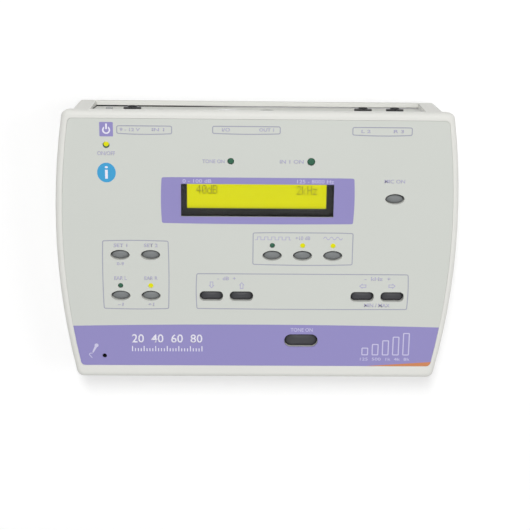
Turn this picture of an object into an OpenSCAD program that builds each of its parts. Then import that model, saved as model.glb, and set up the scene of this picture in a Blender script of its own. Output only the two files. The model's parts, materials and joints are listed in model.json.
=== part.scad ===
// Desktop tone audiometer: sloped key panel over a narrower tub, millimetres, +Z up.
// Origin: floor level, centre of the footprint. X to the user's right, Y to the rear.
// Panel frame: u along X, v up the slope from the rear edge (negative to the front), w out.

/* [Case] */
// Greatest width of the top cover
case_w = 266.5; // [263:0.5:274]
// Length of the top cover along its slope
panel_len = 185; // [184.2:0.2:191]
// Height of the cover's rear edge above the floor
rear_h = 60; // [59:0.5:66]
// Slope of the panel in degrees
panel_tilt = 7.5; // [7:0.25:8]
// Radius of the bowed long sides in plan
side_r = 482; // [470:2:560]
// Distance of the widest place from the rear edge
widest_v = 78.5; // [74.5:1:84.5]
// Radius of the rear corners
rear_corner_r = 4.6; // [4.2:0.1:6]
// Radius of the front corners
front_corner_r = 5; // [4.5:0.5:7]
// Rounding of the cover's upper rim
rim_r = 3.5; // [2.5:0.25:4]
// Depth of the cover's skirt below the rim
skirt_h = 10.8; // [10:0.2:11.6]
// Wall thickness of cover and tub
wall = 2.5; // [2:0.1:2.8]
// Step from the cover's side to the tub's side
tub_inset = 5.2; // [5:0.1:6]
// Outward lean of the rear wall at the floor
rear_lean = 2.75; // [2.5:0.05:3]
// Gap between cover and tub
case_gap = 0.25; // [0.2:0.05:0.4]
// Distance of the case screws from the widest side
boss_side = 22.75; // [22.25:0.25:23.75]
// Distance of the rear case screws from the rear edge
boss_rear = 20; // [19:0.5:22]
// Distance of the front case screws from the front edge
boss_front = 21.5; // [20.5:0.5:24]

/* [Feet] */
// Height of the feet
foot_h = 3; // [2.5:0.25:3.5]
// Radius of the feet
foot_r = 6; // [5:0.25:7]
// Distance of the feet from the widest side
foot_side = 41.25; // [38:0.25:44]
// Distance of the feet from the front and rear edges
foot_edge = 23; // [21.5:0.5:27]

/* [Panel film] */
// Depth of the printed film below the rim
film_drop = 0.8; // [0.6:0.1:1]
// Thickness of the film
film_t = 0.5; // [0.3:0.1:0.6]
// Sideways shift of the film
film_u = 0.3; // [-1:0.1:1]
// Rim left beside the film
film_side = 4.3; // [3.8:0.1:4.8]
// Rim left behind the film
film_rear = 5.3; // [5:0.1:6]
// Rim left in front of the film
film_front = 8.5; // [8:0.1:10]
// Corner radius of the film
film_r = 3; // [2.5:0.25:4]
// Thickness of the cover plate under the film
plate_t = 2.7; // [2.2:0.1:3]

/* [Display] */
// Centre of the window across
window_u = -0.2; // [-1:0.1:1]
// Centre of the window along the slope
window_v = -59.6; // [-60.3:0.1:-59.4]
// Width of the window
window_l = 100.5; // [96:0.5:101.5]
// Height of the window
window_h = 22.2; // [20:0.1:22.5]
// Thickness of the clear lens
lens_t = 1.2; // [1:0.1:1.4]
// Edge of the lens held under the film
lens_edge = 2; // [1.5:0.25:2.5]
// Depth of the display frame below the rim
lcd_drop = 5.2; // [5:0.1:5.4]
// Centre of the display across
lcd_u = -0.6; // [-1:0.1:0.4]
// Centre of the display along the slope
lcd_v = -57.8; // [-58.8:0.1:-57.8]
// Width of the lit area
lcd_l = 92; // [88:0.5:94]
// Height of the lit area
lcd_h = 17; // [16:0.5:18.5]
// Width of the display frame
lcd_frame_l = 108; // [106:0.5:109]
// Height of the display frame
lcd_frame_h = 34; // [32:0.5:35]

/* [Keys] */
// Length of the oval keys
oval_l = 12.1; // [11.5:0.1:13]
// Height of the oval keys
oval_h = 6.3; // [6:0.1:7]
// Gap around the keys
key_gap = 0.35; // [0.3:0.05:0.45]
// Travel of the keys
key_travel = 1.2; // [0.9:0.1:1.4]
// Depth of the key tops below the rim
key_drop = 1.4; // [1.2:0.1:1.6]
// Centre of the block of four keys from the left side
pad_side = 52.3; // [51.8:0.05:53]
// Pitch of neighbouring keys
key_pitch = 20.2; // [19.8:0.1:20.5]
// Upper row of the block of four keys
pad_v1 = -97.6; // [-98.4:0.1:-97]
// Lower row of the block of four keys
pad_v2 = -126.2; // [-127:0.1:-125.6]
// Middle key of the row of three across
trio_u = 30.2; // [29.6:0.1:31]
// Row of three keys along the slope
trio_v = -97.5; // [-98.4:0.1:-97]
// Talk key from the right side
talk_side = 43; // [42:0.05:44]
// Talk key along the slope
talk_v = -58; // [-59.4:0.1:-57]
// Length of the step keys
step_l = 15; // [14.5:0.1:16]
// Height of the step keys
step_h = 6.1; // [6:0.1:7]
// Corner radius of the step keys
step_r = 2.6; // [2:0.1:2.8]
// Middle of the level keys across
level_u = -20.3; // [-21:0.1:-19.6]
// Middle of the pitch keys from the right side
pitch_side = 52.1; // [51.5:0.05:53]
// Row of step keys along the slope
step_v = -126.2; // [-127:0.1:-125.6]
// Present key across
present_u = 30.5; // [29:0.1:32]
// Present key from the front edge
present_front = 27; // [27:0.1:28.4]
// Length of the present key
present_l = 22.1; // [20:0.1:24]
// Height of the present key
present_h = 8.5; // [8:0.1:9]

/* [Lamps] */
// Radius of the key lamps
lamp_r = 1.65; // [1.3:0.05:1.7]
// Distance of a key lamp from its key
lamp_up = 7.1; // [6.8:0.1:7.3]
// Radius of the power lamp
power_lamp_r = 2.1; // [1.6:0.05:2.2]
// Power lamp from the left side
power_side = 34.65; // [34.4:0.05:36]
// Power lamp along the slope
power_v = -22.9; // [-23.6:0.1:-22.5]
// Radius of the tone lamp
tone_lamp_r = 2.1; // [1.9:0.05:2.3]
// Radius of the reply lamp
reply_lamp_r = 2.5; // [2.2:0.05:2.6]
// Tone lamp across
tone_lamp_u = -17.9; // [-18.5:0.1:-17]
// Reply lamp across
reply_lamp_u = 34.5; // [33.5:0.1:35.5]
// Tone and reply lamps along the slope
signal_v = -33.2; // [-33.4:0.1:-32.4]

/* [Microphone] */
// Microphone from the left side
mic_side = 30.5; // [30:0.05:31]
// Microphone from the front edge
mic_front = 15.5; // [15:0.1:16]
// Radius of the sound hole
mic_hole_r = 1.5; // [1.2:0.1:1.8]
// Radius of the microphone capsule
mic_r = 3; // [2.8:0.1:3.2]

/* [Rear connectors] */
// Depth of the connector plate in the rear wall
plate_in = 1.3; // [1.2:0.1:1.6]
// Thickness of the connector plate
conn_t = 2; // [1.6:0.1:2.2]
// Height of the connector row above the floor
conn_z = 37; // [36.5:0.1:37.5]
// Height of the ledge under the connector plate
ledge_z = 8; // [7:0.5:9]
// Distance of the rear recess from the widest side
recess_side = 23.75; // [23.25:0.25:24.5]
// Bore radius of the jack sockets
jack_bore_r = 1.8; // [1.78:0.01:1.85]
// Radius of the threaded jack necks
jack_neck_r = 3.2; // [3:0.05:3.4]
// Radius of the jack nuts
jack_nut_r = 5.85; // [5.5:0.05:6]
// Reply jack from the left side
reply_jack_side = 50.35; // [49.5:0.05:51]
// Right earphone jack from the right side
right_jack_side = 43; // [42:0.05:44]
// Pitch of the earphone jacks
jack_pitch = 21; // [20:0.1:22.5]
// Power button from the left side
button_side = 35.25; // [35:0.05:36.2]
// Travel of the power button
button_travel = 1.5; // [1.2:0.1:1.8]
// Distance of the power inlet from the reply jack
inlet_pitch = 18.6; // [17:0.1:20]
// Computer socket across
usb_u = -20.4; // [-22:0.1:-18]
// Printer socket across
round_socket_u = 5.8; // [4:0.1:8]

/* [Boards] */
// Thickness of the circuit boards
board_t = 1.6; // [1.4:0.1:1.8]
// Depth of the key board below the rim
key_board_drop = 13; // [12.8:0.1:13.2]
// Distance of the key board from the widest side
key_board_side = 29.25; // [28.75:0.25:30]
// Distance of the key board from the rear edge
key_board_rear = 19.5; // [19.4:0.1:20]
// Distance of the key board from the front edge
key_board_front = 16.5; // [16:0.5:18]
// Height of the switch housings
switch_h = 4.5; // [4:0.1:4.8]
// Height of the main board above the floor
main_z = 13; // [12:0.5:14]
// Distance of the main board from the widest side
main_side = 38.25; // [37:0.25:40]
// Distance of the main board from the rear edge
main_rear = 24; // [23:0.5:27]
// Distance of the main board from the front edge
main_front = 31; // [29:0.5:34]

/* [Hidden] */

$fn = 64;
ct = cos(panel_tilt);
st = sin(panel_tilt);
y_rear = (panel_len * ct - rear_lean) / 2;
// Heights in the panel frame
w_recess = -film_drop - film_t;
w_plate = w_recess - plate_t;
w_lens = w_recess - lens_t;
w_key_board = -key_board_drop;
w_switch = w_key_board + switch_h;
w_flange = w_plate - 0.1;
flange_t = 1;
stem_r = 1.7;
stem_fit = 0.05;
stem_in = 1.1;
lcd_t = 4;
header_l = 41;
// Switches, key flanges, ribbons and the sockets' openings
switch_side = 6;
flange_edge = 1.9;
ribbon_t = 1;
key_ribbon_l = 32;
key_ribbon_run = 14;
ribbon_rise = 6;
socket_ribbon_l = 40;
socket_ribbon_run = 9;
socket_ribbon_rise = 13;
usb_l = 12;
usb_h = 10.7;
w_lcd_board = -lcd_drop - lcd_t;
// Seam between cover and tub
w_seam = -skirt_h - 0.2;
in_rear_r = rear_corner_r - wall + 0.5;
in_front_r = front_corner_r - wall + 0.5;
lip_h = 2;
lip_under = 1.2;
// Tub
floor_t = wall;
foot_sunk = 0.8;
tub_floor = foot_h + floor_t;
rear_wall = plate_in + conn_t + wall;
y_conn = y_rear - plate_in;
y_back = y_conn - conn_t;
y_in = y_rear - rear_wall;
y_front = y_rear - panel_len * ct;
half_w = case_w / 2;
// Case screws
boss_u = half_w - boss_side;
boss_v = [-boss_rear, boss_front - panel_len];
post_r = 4.5;
boss_r = 3.5;
w_boss = -14;
shoulder = 5;
post_side = 10;
lcd_post_u = lcd_frame_l / 2 + 2.9;
lcd_post_v = lcd_frame_h / 2 - 3;
lcd_posts = [[-lcd_post_u, lcd_post_v], [lcd_post_u, lcd_post_v],
  [-lcd_post_u, -lcd_post_v], [lcd_post_u, -lcd_post_v]];
main_u = half_w - main_side;
main_y0 = y_front + main_front;
main_y1 = y_rear - main_rear;
main_mid = (main_y0 + main_y1) / 2;
main_half = (main_y1 - main_y0) / 2;
main_posts = [[-main_u + post_side, main_y1 - post_side], [main_u - post_side, main_y1 - post_side],
  [-main_u + post_side, main_y0 + post_side], [main_u - post_side, main_y0 + post_side]];
feet = [for (x = [-1, 1]) for (y = [y_front + foot_edge, y_rear - foot_edge]) [x * (half_w - foot_side), y]];
recess_u = half_w - recess_side;
recess_rim = 7;
plate_screw_u = recess_u - recess_rim / 2;
plate_screw_z = ledge_z + 16;
head_sunk = 1.1;
groove_w = 0.9;
groove_d = 2;
button_out = 1.7;
// Keys, lamps, microphone and sockets across and along
pad_u = pad_side - half_w;
talk_u = half_w - talk_side;
pitch_u = half_w - pitch_side;
present_v = present_front - panel_len;
power_u = power_side - half_w;
mic_u = mic_side - half_w;
mic_v = mic_front - panel_len;
reply_jack_u = reply_jack_side - half_w;
right_jack_u = half_w - right_jack_side;
left_jack_u = right_jack_u - jack_pitch;
button_u = button_side - half_w;
inlet_u = reply_jack_u + inlet_pitch;
pad_u1 = pad_u - key_pitch / 2;
pad_u2 = pad_u + key_pitch / 2;
// Board posts: clear of the keys beside them
key_board_u = half_w - key_board_side;
key_board_v = key_board_front - panel_len;
key_post_v = key_board_v + post_side;
key_posts = [[post_side * 2.4 - key_board_u, -30], [key_board_u - 32, -28],
  [pad_u2 + 21.85, trio_v - 2], [trio_u + key_pitch + 21.3, trio_v - 2],
  [pad_u2 + 21.85, key_post_v], [key_board_u - 19, key_post_v]];
oval_keys = [[pad_u1, pad_v1], [pad_u2, pad_v1], [pad_u1, pad_v2], [pad_u2, pad_v2],
  [trio_u - key_pitch, trio_v], [trio_u, trio_v], [trio_u + key_pitch, trio_v], [talk_u, talk_v]];
step_keys = [[level_u - key_pitch / 2, step_v], [level_u + key_pitch / 2, step_v],
  [pitch_u - key_pitch / 2, step_v], [pitch_u + key_pitch / 2, step_v]];
key_spots = concat(oval_keys, step_keys, [[present_u, present_v]]);
key_lamps = [[pad_u1, pad_v2 + lamp_up], [pad_u2, pad_v2 + lamp_up],
  [trio_u - key_pitch, trio_v + lamp_up], [trio_u, trio_v + lamp_up], [trio_u + key_pitch, trio_v + lamp_up]];
lamp_gap = 0.1;
jack_depth = 12;
jack_spots = [reply_jack_u, left_jack_u, right_jack_u];
nut_t = 1.8;
socket_board_z = main_z + 9;
neck_out = 2.5;

// ---- Outlines and lofts ----
// One side of the plan outline from front to rear: s, a, b insets, ra and rb corner radii
function side_c() = case_w / 2 - side_r;
function corner_x(s, v, r) = side_c() + sqrt(pow(side_r - s - r, 2) - pow(v + widest_v, 2));
function corner_a(s, v, r) = atan2(v + widest_v, corner_x(s, v, r) - side_c());
function arc(cx, cy, r, a0, a1, n) =
  [for (i = [0:n]) [cx + r * cos(a0 + (a1 - a0) * i / n), cy + r * sin(a0 + (a1 - a0) * i / n)]];
function half_plan(s, a, b, ra, rb) =
  let (vr = -a - ra, vf = -panel_len + b + rb)
  let (tr = corner_a(s, vr, ra), tf = corner_a(s, vf, rb), n = 12)
  concat(
    arc(corner_x(s, vf, rb), vf, rb, -90, tf, 4),
    [for (i = [1:n - 1]) [side_c() + (side_r - s) * cos(tf + (tr - tf) * i / n),
      -widest_v + (side_r - s) * sin(tf + (tr - tf) * i / n)]],
    arc(corner_x(s, vr, ra), vr, ra, tr, 90, 4));
function plan(s, a, b, ra, rb) =
  let (h = half_plan(s, a, b, ra, rb), n = len(h))
  concat(h, [for (i = [n - 1:-1:0]) [-h[i][0], h[i][1]]]);
// Rings in world coordinates: parallel to the panel, or level
function tilted(p, w) = [for (q = p) [q[0], y_rear + q[1] * ct, rear_h + q[1] * st + w / ct]];
function level(p, z) = [for (q = p) [q[0], y_rear + q[1] * ct, z]];

module loft(rings) {
  m = len(rings);
  n = len(rings[0]);
  pts = [for (r = rings) for (p = r) p];
  faces = concat(
    [[for (i = [0:n - 1]) i]],
    [for (k = [0:m - 2]) for (i = [0:n - 1])
      [k * n + i, (k + 1) * n + i, (k + 1) * n + (i + 1) % n]],
    [for (k = [0:m - 2]) for (i = [0:n - 1])
      [k * n + i, (k + 1) * n + (i + 1) % n, k * n + (i + 1) % n]],
    [[for (i = [n - 1:-1:0]) (m - 1) * n + i]]);
  polyhedron(points = pts, faces = faces, convexity = 4);
}

// Places things in the panel frame
module panel() {
  translate([0, y_rear, rear_h])
    rotate([panel_tilt, 0, 0])
      children();
}

// Upright cylinder between two levels in the panel frame
module peg(u, v, r, w0, w1) {
  translate([u, v, w0])
    cylinder(r = r, h = w1 - w0);
}

module slab(u, v, l, h, w0, w1) {
  translate([u - l / 2, v - h / 2, w0])
    cube([l, h, w1 - w0]);
}

// Ellipse drawn with corners a few tenths of a millimetre apart
module oval(l, h) {
  polygon([for (a = [0:6:354]) [l / 2 * cos(a), h / 2 * sin(a)]]);
}

module rounded(l, h, r) {
  square([l - 2 * r, h], center = true);
  square([l, h - 2 * r], center = true);
  for (x = [-1, 1]) for (y = [-1, 1])
    translate([x * (l / 2 - r), y * (h / 2 - r)])
      circle(r = r, $fn = 48);
}

function key_l(i) = i < 8 ? oval_l : (i < 12 ? step_l : present_l);
function key_h(i) = i < 8 ? oval_h : (i < 12 ? step_h : present_h);

module key_plan(i, g) {
  if (i < 8) {
    oval(oval_l + 2 * g, oval_h + 2 * g);
  } else if (i < 12) {
    rounded(step_l + 2 * g, step_h + 2 * g, step_r + g);
  } else {
    rounded(present_l + 2 * g, present_h + 2 * g, present_h / 2 + g - 0.05);
  }
}

// All openings for keys and lamps, from w0 to w1
module panel_holes(w0, w1) {
  for (i = [0:12])
    translate([key_spots[i][0], key_spots[i][1], w0])
      linear_extrude(w1 - w0)
        key_plan(i, key_gap);
  for (p = key_lamps)
    peg(p[0], p[1], lamp_r + lamp_gap, w0, w1);
  peg(power_u, power_v, power_lamp_r + lamp_gap, w0, w1);
  peg(tone_lamp_u, signal_v, tone_lamp_r + lamp_gap, w0, w1);
  peg(reply_lamp_u, signal_v, reply_lamp_r + lamp_gap, w0, w1);
  peg(mic_u, mic_v, mic_hole_r, w0, w1);
}

// ---- Housing ----
module top_cover() {
  color([0.85, 0.85, 0.83]) difference() {
    union() {
      difference() {
        loft(concat(
          [tilted(plan(0, 0, 0, rear_corner_r, front_corner_r), -skirt_h)],
          [for (k = [0:4])
            let (i = rim_r * (1 - cos(k * 22.5)), w = -rim_r * (1 - sin(k * 22.5)))
            tilted(plan(i, i, i, rear_corner_r - i, front_corner_r - i), w)]));
        loft([
          tilted(plan(wall, wall, wall, in_rear_r, in_front_r), -skirt_h - 1),
          tilted(plan(wall, wall, wall, in_rear_r, in_front_r), w_plate - 1.5),
          tilted(plan(wall + 1.5, wall + 1.5, wall + 1.5, 2, 1.5), w_plate)]);
      }
      panel() {
        for (p = key_posts)
          peg(p[0], p[1], 3, w_key_board, w_plate + 0.4);
        for (p = lcd_posts)
          peg(p[0] + lcd_u, p[1] + lcd_v, 2.4, w_lcd_board, w_plate + 0.4);
        peg(mic_u, mic_v, mic_r + 2.2, w_plate - 4, w_plate + 0.4);
      }
      for (x = [-1, 1]) for (v = boss_v)
        translate([x * boss_u, y_rear + v * ct, rear_h + v * st + (w_boss + 0.2) / ct])
          cylinder(r = boss_r, h = (w_recess - plate_t / 2 - w_boss - 0.2) / ct);
    }
    panel() {
      translate([film_u, 0, w_recess])
        linear_extrude(5)
          polygon(plan(film_side, film_rear, film_front, film_r, film_r));
      slab(window_u, window_v, window_l + 2 * lens_edge, window_h + 2 * lens_edge, w_lens, w_recess + 1);
      slab(window_u, window_v, window_l + lens_edge, window_h + lens_edge, w_plate - 1, w_recess + 1);
      panel_holes(w_plate - 1, w_recess + 1);
      peg(mic_u, mic_v, mic_r + 1.2, w_plate - 5, w_plate);
      for (p = key_posts)
        peg(p[0], p[1], 1.1, w_key_board - 1, w_key_board + 6);
      for (p = lcd_posts)
        peg(p[0] + lcd_u, p[1] + lcd_v, 0.9, w_lcd_board - 1, w_lcd_board + 4);
    }
    for (x = [-1, 1]) for (v = boss_v)
      translate([x * boss_u, y_rear + v * ct, rear_h + v * st + w_boss / ct - 1])
        cylinder(r = 1.3, h = 8.5);
  }
}

module base_shell() {
  tr = rear_lean / ct;
  color([0.82, 0.82, 0.8]) difference() {
    union() {
      difference() {
        union() {
          loft([
            level(plan(tub_inset + 1.5, 1.5 - tr, tub_inset + 1.5, 1.5, 4), foot_h),
            level(plan(tub_inset, -tr, tub_inset, 3, 5.5), foot_h + 1.5),
            tilted(plan(tub_inset, 0, tub_inset, 3, 5.5), w_seam)]);
          loft([
            tilted(plan(wall + case_gap, wall + case_gap, wall + case_gap, 3.5, 2.5), w_seam - lip_under),
            tilted(plan(wall + case_gap, wall + case_gap, wall + case_gap, 3.5, 2.5), w_seam + lip_h)]);
        }
        loft([
          level(plan(tub_inset + wall, rear_wall / ct, tub_inset + wall, 2, 3), tub_floor),
          tilted(plan(tub_inset + wall, rear_wall / ct, tub_inset + wall, 2, 3), w_seam + lip_h + 1)]);
      }
      for (x = [-1, 1]) for (v = boss_v)
        translate([x * boss_u, y_rear + v * ct, foot_h + 1])
          cylinder(r = post_r, h = rear_h + v * st + w_boss / ct - foot_h - 1);
      for (p = main_posts)
        translate([p[0], p[1], foot_h + 1])
          cylinder(r = 3, h = main_z - foot_h - 1);
    }
    // Recess for the connector plate, and the way through for the sockets
    translate([-recess_u, y_back, ledge_z])
      cube([2 * recess_u, 20, 60]);
    translate([-recess_u + recess_rim, y_in - 1, conn_z - 10])
      cube([2 * (recess_u - recess_rim), 20, 60]);
    // Groove along the plate's foot
    translate([-recess_u, y_conn, ledge_z - groove_d])
      cube([2 * recess_u, groove_w, groove_d + 1]);
    for (x = [-1, 1])
      translate([x * plate_screw_u, y_in - 1, plate_screw_z])
        rotate([-90, 0, 0])
          cylinder(r = 1.1, h = 10);
    for (x = [-1, 1]) for (v = boss_v)
      translate([x * boss_u, y_rear + v * ct, foot_h - 1]) {
        cylinder(r = 3.3, h = rear_h + v * st + w_boss / ct - shoulder - foot_h + 1);
        cylinder(r = 1.7, h = 60);
      }
    for (p = main_posts)
      translate([p[0], p[1], main_z - 6])
        cylinder(r = 1.1, h = 8);
    for (p = feet)
      translate([p[0], p[1], foot_h - 1])
        cylinder(r = foot_r + 0.1, h = foot_sunk + 1);
  }
}

module panel_film() {
  color([0.8, 0.81, 0.79]) panel() difference() {
    translate([film_u, 0, w_recess])
      linear_extrude(film_t)
        polygon(plan(film_side + 0.15, film_rear + 0.15, film_front + 0.15, film_r, film_r));
    slab(window_u, window_v, window_l, window_h, w_recess - 1, 1);
    panel_holes(w_recess - 1, 1);
  }
}

module case_screws() {
  color([0.6, 0.6, 0.62]) for (x = [-1, 1]) for (v = boss_v)
    translate([x * boss_u, y_rear + v * ct, rear_h + v * st + w_boss / ct - shoulder]) {
      translate([0, 0, -2.2]) cylinder(r = 2.8, h = 2.2);
      translate([0, 0, -0.1]) cylinder(r = 1.25, h = shoulder + 6.1);
    }
}

module rubber_feet() {
  color([0.1, 0.1, 0.1]) for (p = feet)
    translate([p[0], p[1], 0])
      cylinder(r = foot_r, h = foot_h + foot_sunk);
}

// ---- Display ----
module display_lens() {
  color([0.8, 0.85, 0.85, 0.3]) panel()
    slab(window_u, window_v, window_l + 2 * lens_edge - 0.3, window_h + 2 * lens_edge - 0.3,
      w_lens, w_recess);
}

module lcd_frame() {
  color([0.2, 0.2, 0.2]) panel() difference() {
    slab(lcd_u, lcd_v, lcd_frame_l, lcd_frame_h, w_lcd_board, -lcd_drop);
    slab(lcd_u, lcd_v, lcd_l, lcd_h, w_lcd_board - 1, -lcd_drop + 1);
    slab(lcd_u, lcd_v, lcd_frame_l - 2, lcd_frame_h - 2, w_lcd_board - 1, -lcd_drop - 0.5);
  }
}

module lcd_glass() {
  color([0.85, 0.85, 0.15]) panel()
    slab(lcd_u, lcd_v, lcd_frame_l - 2.4, lcd_frame_h - 2.4, w_lcd_board, -lcd_drop - 0.5);
}

module lcd_board() {
  color([0.1, 0.35, 0.15]) panel() difference() {
    slab(lcd_u, lcd_v, 2 * lcd_post_u + 5.2, lcd_frame_h + 0.6, w_lcd_board - board_t, w_lcd_board);
    for (p = lcd_posts)
      peg(p[0] + lcd_u, p[1] + lcd_v, 1.2, w_lcd_board - board_t - 1, w_lcd_board + 1);
  }
}

module lcd_header() {
  color([0.08, 0.08, 0.08]) panel()
    slab(lcd_u - header_l / 2, lcd_v + lcd_frame_h / 2 - 3, header_l, 2.5,
      w_key_board, w_lcd_board - board_t);
}

module lcd_screws() {
  color([0.6, 0.6, 0.62]) panel() for (p = lcd_posts) {
    peg(p[0] + lcd_u, p[1] + lcd_v, 0.85, w_lcd_board - board_t - 0.1, w_lcd_board + 3.5);
    peg(p[0] + lcd_u, p[1] + lcd_v, 1.7, w_lcd_board - board_t - 1, w_lcd_board - board_t);
  }
}

// ---- Keys and lamps ----
module key_board() {
  color([0.1, 0.4, 0.2]) panel() difference() {
    translate([-key_board_u, key_board_v, w_key_board - board_t])
      cube([2 * key_board_u, -key_board_rear - key_board_v, board_t]);
    for (p = key_posts)
      peg(p[0], p[1], 1.3, w_key_board - board_t - 1, w_key_board + 1);
  }
}

module key_switches() {
  color([0.15, 0.15, 0.15]) panel() difference() {
    for (p = key_spots)
      slab(p[0], p[1], switch_side, switch_side, w_key_board, w_switch);
    for (p = key_spots)
      peg(p[0], p[1], stem_r + stem_fit, w_key_board + 0.6, w_switch + 1);
  }
}

module key_board_screws() {
  color([0.6, 0.6, 0.62]) panel() for (p = key_posts) {
    peg(p[0], p[1], 1.05, w_key_board - board_t - 0.1, w_key_board + 5.5);
    peg(p[0], p[1], 2.2, w_key_board - board_t - 1.4, w_key_board - board_t);
  }
}

module key_cap(i, dome) {
  panel() translate([key_spots[i][0], key_spots[i][1], 0]) {
    intersection() {
      translate([0, 0, w_flange - flange_t + 0.1])
        linear_extrude(20)
          key_plan(i, 0);
      translate([0, 0, -key_drop - dome])
        sphere(r = dome, $fn = 128);
    }
    slab(0, 0, key_l(i) + flange_edge, key_h(i) + flange_edge + 0.5,
      w_flange - flange_t, w_flange);
    peg(0, 0, stem_r, w_switch - stem_in, w_flange - flange_t + 0.1);
  }
}

module menu_key() {
  color([0.5, 0.52, 0.52]) key_cap(0, 30);
}

module print_key() {
  color([0.5, 0.52, 0.52]) key_cap(1, 30);
}

module left_key() {
  color([0.5, 0.52, 0.52]) key_cap(2, 30);
}

module right_key() {
  color([0.5, 0.52, 0.52]) key_cap(3, 30);
}

module pulse_key() {
  color([0.5, 0.52, 0.52]) key_cap(4, 30);
}

module boost_key() {
  color([0.5, 0.52, 0.52]) key_cap(5, 30);
}

module warble_key() {
  color([0.5, 0.52, 0.52]) key_cap(6, 30);
}

module talk_key() {
  color([0.5, 0.52, 0.52]) key_cap(7, 30);
}

module level_down_key() {
  color([0.3, 0.3, 0.32]) key_cap(8, 60);
}

module level_up_key() {
  color([0.3, 0.3, 0.32]) key_cap(9, 60);
}

module pitch_down_key() {
  color([0.3, 0.3, 0.32]) key_cap(10, 60);
}

module pitch_up_key() {
  color([0.3, 0.3, 0.32]) key_cap(11, 60);
}

module present_key() {
  color([0.3, 0.3, 0.32]) key_cap(12, 90);
}

// Lamp with a domed end just under the rim's level
module lamp(u, v, r) {
  top = -film_drop + 0.2;
  panel() {
    intersection() {
      peg(u, v, r, w_key_board, top);
      translate([u, v, top - 2.2 * r])
        rotate_extrude($fn = 64)
          intersection() {
            circle(r = 2.2 * r, $fn = 96);
            translate([0, -2.2 * r])
              square([2.2 * r, 4.4 * r]);
          }
    }
    peg(u, v, r, w_key_board, top - 1.2);
    peg(u, v, r + 0.3, w_key_board, w_plate - 0.6);
  }
}

module power_lamp() {
  color([0.9, 0.9, 0.1]) lamp(power_u, power_v, power_lamp_r);
}

module tone_lamp() {
  color([0.2, 0.38, 0.3]) lamp(tone_lamp_u, signal_v, tone_lamp_r);
}

module reply_lamp() {
  color([0.2, 0.38, 0.3]) lamp(reply_lamp_u, signal_v, reply_lamp_r);
}

module left_key_lamp() {
  color([0.2, 0.38, 0.3]) lamp(key_lamps[0][0], key_lamps[0][1], lamp_r);
}

module right_key_lamp() {
  color([0.9, 0.9, 0.1]) lamp(key_lamps[1][0], key_lamps[1][1], lamp_r);
}

module pulse_lamp() {
  color([0.2, 0.38, 0.3]) lamp(key_lamps[2][0], key_lamps[2][1], lamp_r);
}

module boost_lamp() {
  color([0.9, 0.9, 0.1]) lamp(key_lamps[3][0], key_lamps[3][1], lamp_r);
}

module warble_lamp() {
  color([0.9, 0.9, 0.1]) lamp(key_lamps[4][0], key_lamps[4][1], lamp_r);
}

module microphone() {
  color([0.7, 0.7, 0.72]) panel()
    peg(mic_u, mic_v, mic_r, w_plate - 5.2, w_plate - 0.8);
}

module mic_grommet() {
  color([0.08, 0.08, 0.08]) panel() difference() {
    peg(mic_u, mic_v, mic_r + 1.15, w_plate - 5.2, w_plate);
    peg(mic_u, mic_v, mic_r + 0.05, w_plate - 6, w_plate - 0.8);
    peg(mic_u, mic_v, mic_hole_r, w_plate - 2, w_plate + 1);
  }
}

// ---- Rear connectors ----
// Cylinder along +Y from y0 to y1
module rod(u, z, r, y0, y1) {
  translate([u, y0, z])
    rotate([-90, 0, 0])
      cylinder(r = r, h = y1 - y0);
}

module block(u, z, l, h, y0, y1) {
  translate([u - l / 2, y0, z - h / 2])
    cube([l, y1 - y0, h]);
}

module rear_panel() {
  g = 0.2;
  color([0.75, 0.75, 0.73]) difference() {
    translate([-recess_u + g, y_back, ledge_z + g])
      cube([2 * recess_u - 2 * g, conn_t, conn_z + 8.5 - ledge_z]);
    for (u = jack_spots)
      rod(u, conn_z, jack_neck_r + 0.1, y_back - 1, y_conn + 1);
    block(button_u, conn_z, 4.5, 6.3, y_back - 1, y_conn + 1);
    rod(inlet_u, conn_z, 4.1, y_back - 1, y_conn + 1);
    block(usb_u, conn_z, usb_l + 0.3, usb_h + 0.3, y_back - 1, y_conn + 1);
    rod(round_socket_u, conn_z, 5.3, y_back - 1, y_conn + 1);
    for (x = [-1, 1]) {
      rod(x * plate_screw_u, plate_screw_z, 1.3, y_back - 1, y_conn + 1);
      rod(x * plate_screw_u, plate_screw_z, 2.4, y_conn - head_sunk, y_conn + 1);
    }
  }
}

module rear_panel_screws() {
  color([0.6, 0.6, 0.62]) for (x = [-1, 1]) {
    rod(x * plate_screw_u, plate_screw_z, 1.05, y_back - wall + 0.1, y_conn - head_sunk + 0.1);
    rod(x * plate_screw_u, plate_screw_z, 2.25, y_conn - head_sunk, y_conn - 0.05);
  }
}

module jack(u) {
  color([0.12, 0.12, 0.12]) difference() {
    union() {
      block(u, conn_z, 11, 11, y_back - jack_depth, y_back);
      rod(u, conn_z, jack_neck_r, y_back - 1, y_conn + neck_out);
    }
    rod(u, conn_z, jack_bore_r, y_conn + neck_out - 15, y_conn + neck_out + 1);
  }
}

module reply_jack() {
  jack(reply_jack_u);
}

module left_jack() {
  jack(left_jack_u);
}

module right_jack() {
  jack(right_jack_u);
}

module jack_nuts() {
  color([0.08, 0.08, 0.08]) for (u = jack_spots)
    difference() {
      rod(u, conn_z, jack_nut_r, y_conn, y_conn + nut_t);
      rod(u, conn_z, jack_neck_r + 0.05, y_conn - 1, y_conn + nut_t + 1);
      block(u, conn_z + jack_nut_r, 1.6, 2.4, y_conn + 0.6, y_conn + nut_t + 1);
      block(u, conn_z - jack_nut_r, 1.6, 2.4, y_conn + 0.6, y_conn + nut_t + 1);
    }
}

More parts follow.
